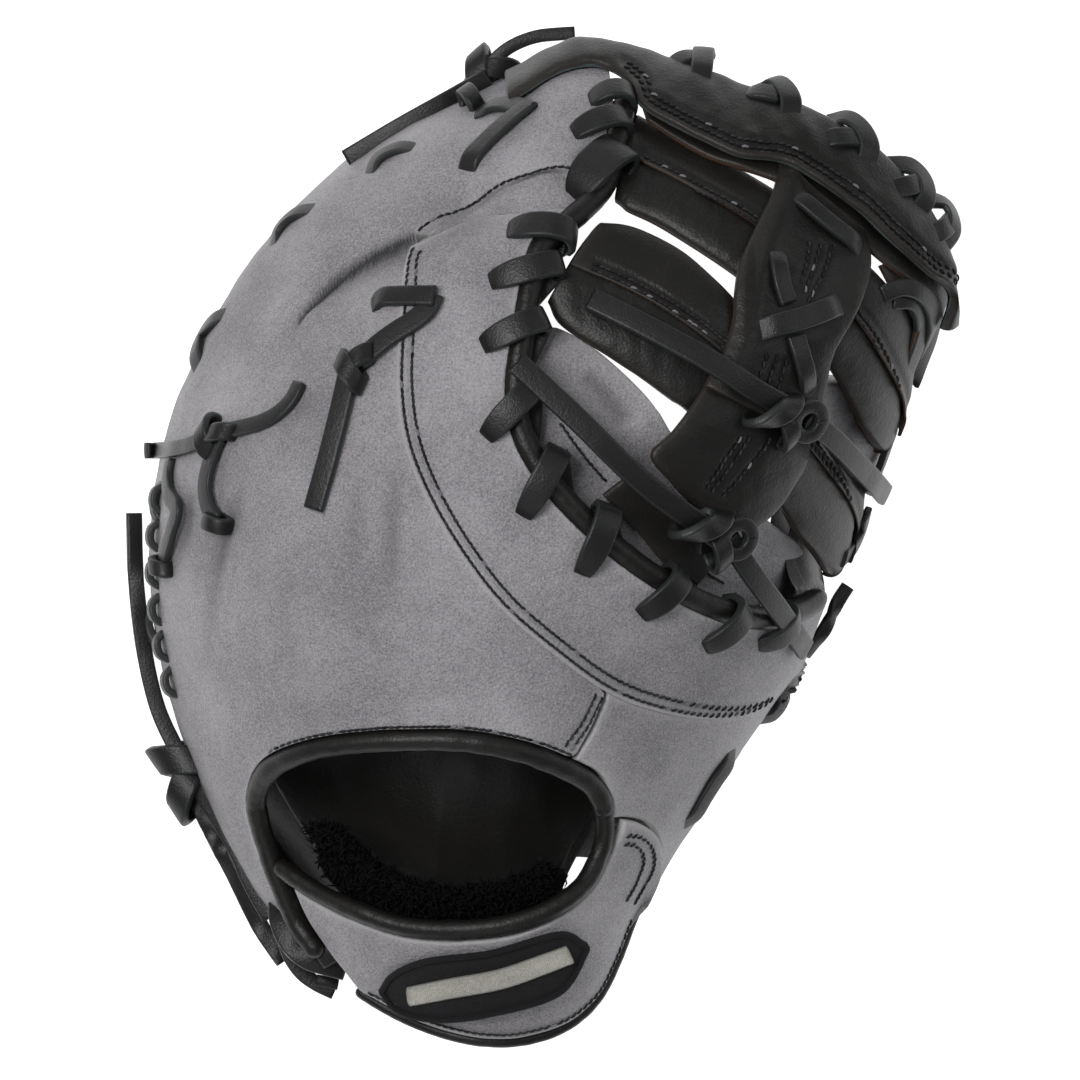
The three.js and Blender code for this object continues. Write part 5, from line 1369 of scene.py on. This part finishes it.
KNOTTED = 2.4
joined_piece("tip_knot_lace", [
    lace([(*(-57.5, 108.0), 22), (*(-42.1, 117.1), 25), (*(-27.8, 125.1), 24), (*(-17.6, 131.1), 16)], 5.4, 2.4, flat=1.0, free=True),
    lace([(*(-18.7, 131.6), 11), (*(-14.7, 137.1), 12), (*(-9.6, 140.8), 12), (*(-2.7, 143.3), 12), (*(7.8, 144.2), 12)], 3.8, flat=0.9, free=True),
    coil((-19.3, 132.2), 20, 9, 6.4, 5.4, 6.6, 1.2, 2.0, -0.3, 2.6, 0.4, (-0.2, 0.3, 1)),
    coil((-15.9, 132.8), 80, 9, 5.6, 5.0, 6.2, 1.15, 1.6, -0.2, 2.6, -0.3, (-0.2, 0.3, 1)),
    coil((-21.6, 123.4), 80, 1.2, 4.6, 3.4, 5.2, 1.1, 1.6, -0.3, tilt=0.3),
], [lace_leather], "tip_knot")
joined_piece("finger_knot_lace", [
    lace([(*(-23.3, 103.5), -1.6), (*(-22.4, 105.5), 1.0), (*(-17.0, 111.4), 1.5), (*(-10.2, 117.4), 1.7), (*(-5.0, 121.4), 1.7)]),
    lace([(*(-4.7, 120.5), 0.9), (*(-10.7, 122.0), 1.3), (*(-16.4, 121.7), 0.9), (*(-20.4, 120.3), -0.6)]),
], [lace_leather], "finger_lace_d")
joined_piece("back_knot_lace", [
    lace([(*(-50.1, 65.3), -1.4), (*(-48.3, 66.5), 1.1), (*(-41.5, 67.3), 1.6), (*(-31.2, 67.0), 3.0)]),
    lace([(*(-31.8, 67.9), 1.4), (*(-35.2, 62.2), 1.8), (*(-44.9, 55.4), 2.2), (*(-52.9, 48.5), KNOTTED)]),
    lace([(*(-54.6, 48.5), KNOTTED + 0.6), (*(-57.5, 37.4), KNOTTED - 0.4), (*(-61.2, 23.2), 1.6), (*(-65.7, 7.6), 1.2)]),
    *knot((-54.0, 46.8), 50, 2.2, 1.05),
], [lace_leather], "back_knot")
joined_piece("pinky_knot_lace", [
    lace([(*(-115.0, 24.6), 0.2), (*(-109.9, 24.4), 1.2), (*(-101.9, 25.2), 1.8), (*(-92.8, 28.3), KNOTTED)], 4.6, flat=0.5),
    lace([(*(-90.5, 29.2), KNOTTED), (*(-79.7, 32.0), 1.8), (*(-72.9, 36.6), 1.6), (*(-69.2, 42.9), 1.6)], 4.6),
    lace([(*(-90.0, 29.8), KNOTTED + 0.6), (*(-93.9, 21.2), KNOTTED), (*(-95.4, 12.1), KNOTTED), (*(-92.8, 4.2), 2.0)], 5.4),
    *knot((-92.2, 28.1), 10, 2.2),
    coil((-92.5, 3.6), 60, 1.6, 4.0, 3.2, 4.6, 1.2, 1.2, -0.3),
], [lace_leather], "pinky_knot")
side_runs = [
    lace([(*a, -1.4), (*b, 1.8), (*c, 1.8), (*d, -1.4)], 4.6)
    for a, b, c, d in (at(rim_line(0.975, (-112.5, 16.7), (-113.6, -18.0), (-107.1, -52.8)), s + np.array([0, 0.03, 0.1, 0.13])) for s in np.arange(0.02, 0.9, 0.155))
]
joined_piece("side_knot_lace", side_runs + [
    lace([(*(-106.5, 21.8), 1.2), (*(-107.1, 13.3), 1.6), (*(-103.6, 8.1), 2.2), (*(-105.9, 0.2), 1.8), (*(-108.2, -7.2), 1.6)], 5.0),
    coil((-108.5, -8.4), 80, 1.2, 4.0, 3.0, 4.6, 1.2, 1.4, -0.3, tilt=0.3),
], [lace_leather], "side_knot")
joined_piece("wrist_knot_lace", [
    lace([(*(-118.5, 6.7), 11), (*(-117.9, -12.4), 12), (*(-115.6, -32.3), 12), (*(-111.6, -49.4), 12), (*(-105.3, -63.0), 13)], 4.6, flat=0.7, free=True),
    lace([(*(-101.9, -67.0), 17), (*(-95.1, -77.8), 17), (*(-88.8, -88.1), 18), (*(-84.3, -98.3), 20), (*(-78.6, -108.5), 22)], 6.6, flat=0.8, free=True),
    lace([(*(-103.1, -70.4), 12), (*(-95.7, -85.2), 13), (*(-88.2, -100.0), 14), (*(-82.0, -112.0), 15), (*(-75.4, -121.6), 16)], 5.0, flat=0.6, free=True),
    coil((-104.5, -64.1), -72, 14, 7.4, 5.4, 8.6, 1.2, 2.2, -0.3, 2.6, 0.35, (-0.3, 0, 1)),
    coil((-102.8, -72.1), -38, 14, 7.2, 5.4, 8.0, 1.15, 2.0, -0.2, 2.6, -0.3, (-0.3, 0, 1)),
], [lace_leather], "wrist_knot")
joined_piece("strap_knot_lace", [
    lace([(*(-77.1, -104.8), 29), (*(-76.6, -110.3), 33), (*(-73.7, -116.2), 35), (*(-69.7, -120.2), 36), (*(-64.3, -122.2), 36), (*(-58.0, -123.9), 34)], 5.4, 2.4, flat=0.85, free=True),
    lace([(*(-75.1, -115.9), 24), (*(-72.3, -122.2), 24), (*(-67.7, -126.8), 24), (*(-60.9, -130.2), 24)], 4.4, flat=0.9, free=True),
    lace([(*(-65.7, -115.1), 38), (*(-63.2, -118.2), 39.5), (*(-61.2, -121.1), 38)], 6.6, 2.4, flat=0.9, free=True),
    lace([(*(-66.0, -126.8), 25.5), (*(-63.2, -127.3), 26), (*(-60.0, -127.9), 25.5)], 3.4, flat=1.0, free=True),
], [lace_leather], "strap_knot")

# Two long laces over the web, each with its knot.
OVER = 3.4
joined_piece("web_lace_low", [
    lace([(*(-9.0, 48.5), OVER), (*(7.8, 33.2), OVER - 1), (*(26.3, 15.5), OVER - 1), (*(46.8, 0.2), OVER - 1)], 6.6, 2.6),
    lace([(*(49.7, 0.2), OVER - 1), (*(56.0, -10.1), OVER), (*(63.4, -20.3), OVER), (*(71.4, -31.1), 2.4)], 6.4, 2.4),
    coil((42.3, 3.6), -38, 2.0, 6.2, 5.0, 6.4, 1.15, 2.0, -0.3, tilt=0.6, thick=2.6),
    ring((51.1, 0.5), 4.0),
    coil((46.8, -3.2), 20, 1.4, 5.4, 4.2, 5.6, 1.1, 1.2, -0.3, tilt=0.2),
], [lace_leather], "web_knot_low")
joined_piece("web_lace_high", [
    lace([(*(12.1, 67.6), -1.4), (*(26.3, 59.9), 0.4), (*(43.4, 50.3), 2.2), (*(57.7, 41.7), 2.6), (*(67.9, 36.0), 2.8)], 6.6, 2.6),
    lace([(*(71.9, 34.3), 2.8), (*(79.1, 28.6), 2.6), (*(86.7, 21.2), 2.0), (*(95.3, 12.7), 1.4)], 6.4, 2.4),
    coil((62.8, 36.0), -32, 1.8, 6.0, 4.8, 6.4, 1.15, 2.0, -0.3, tilt=0.6, thick=2.6),
    ring((71.1, 34.0), 4.0),
    coil((66.2, 30.9), 20, 1.0, 5.0, 4.0, 5.4, 1.1, 1.2, -0.3, tilt=0.2),
], [lace_leather], "web_knot_high")

# Laces that whip the web's ends to the thumb's edge.
for name, node, points in (
    ("bar_whip_inner", "bar_lace_inner", [((85.0, -6.7), -0.8), ((89.6, -1.0), -0.4), ((91.9, 6.4), -0.8)]),
    ("bar_whip_outer", "bar_lace_outer", [((93.6, 11.6), -2.2), ((96.7, 18.4), -2.0), ((99.3, 25.2), -2.2)]),
):
    joined_piece(name, [lace([(*p, h) for p, h in points], 5.4)], [lace_leather], node)

joined_piece("thumb_tip_whip", [
    lace([(*(85.9, -14.3), 11), (*(82.8, -19.2), 12), (*(79.3, -26.6), 12), (*(73.6, -34.0), 10)], 4.0, flat=0.4, free=True),
], [lace_leather], "thumb_tip_lace")
joined_piece("band_end_loop", [
    lace([(*(97.6, 69.0), -4.0), (*(100.4, 70.7), -2.0), (*(104.4, 70.5), -0.6), (*(108.7, 66.8), -0.4), (*(110.4, 62.2), -0.6), (*(109.8, 56.5), -1.4), (*(109.3, 51.4), -3.0)], 5.0),
    lace([(*(101.0, 66.5), -4.0), (*(103.8, 67.3), -2.4), (*(106.4, 65.1), -2.2), (*(107.8, 59.9), -2.2), (*(107.6, 54.2), -3.4)], 4.4),
], [lace_leather], "band_end_lace")

visual_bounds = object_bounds()
plain = lambda corners: [[float(x) for x in corner] for corner in corners]
{"cad": plain(cad_bounds), "visual": plain(visual_bounds)}
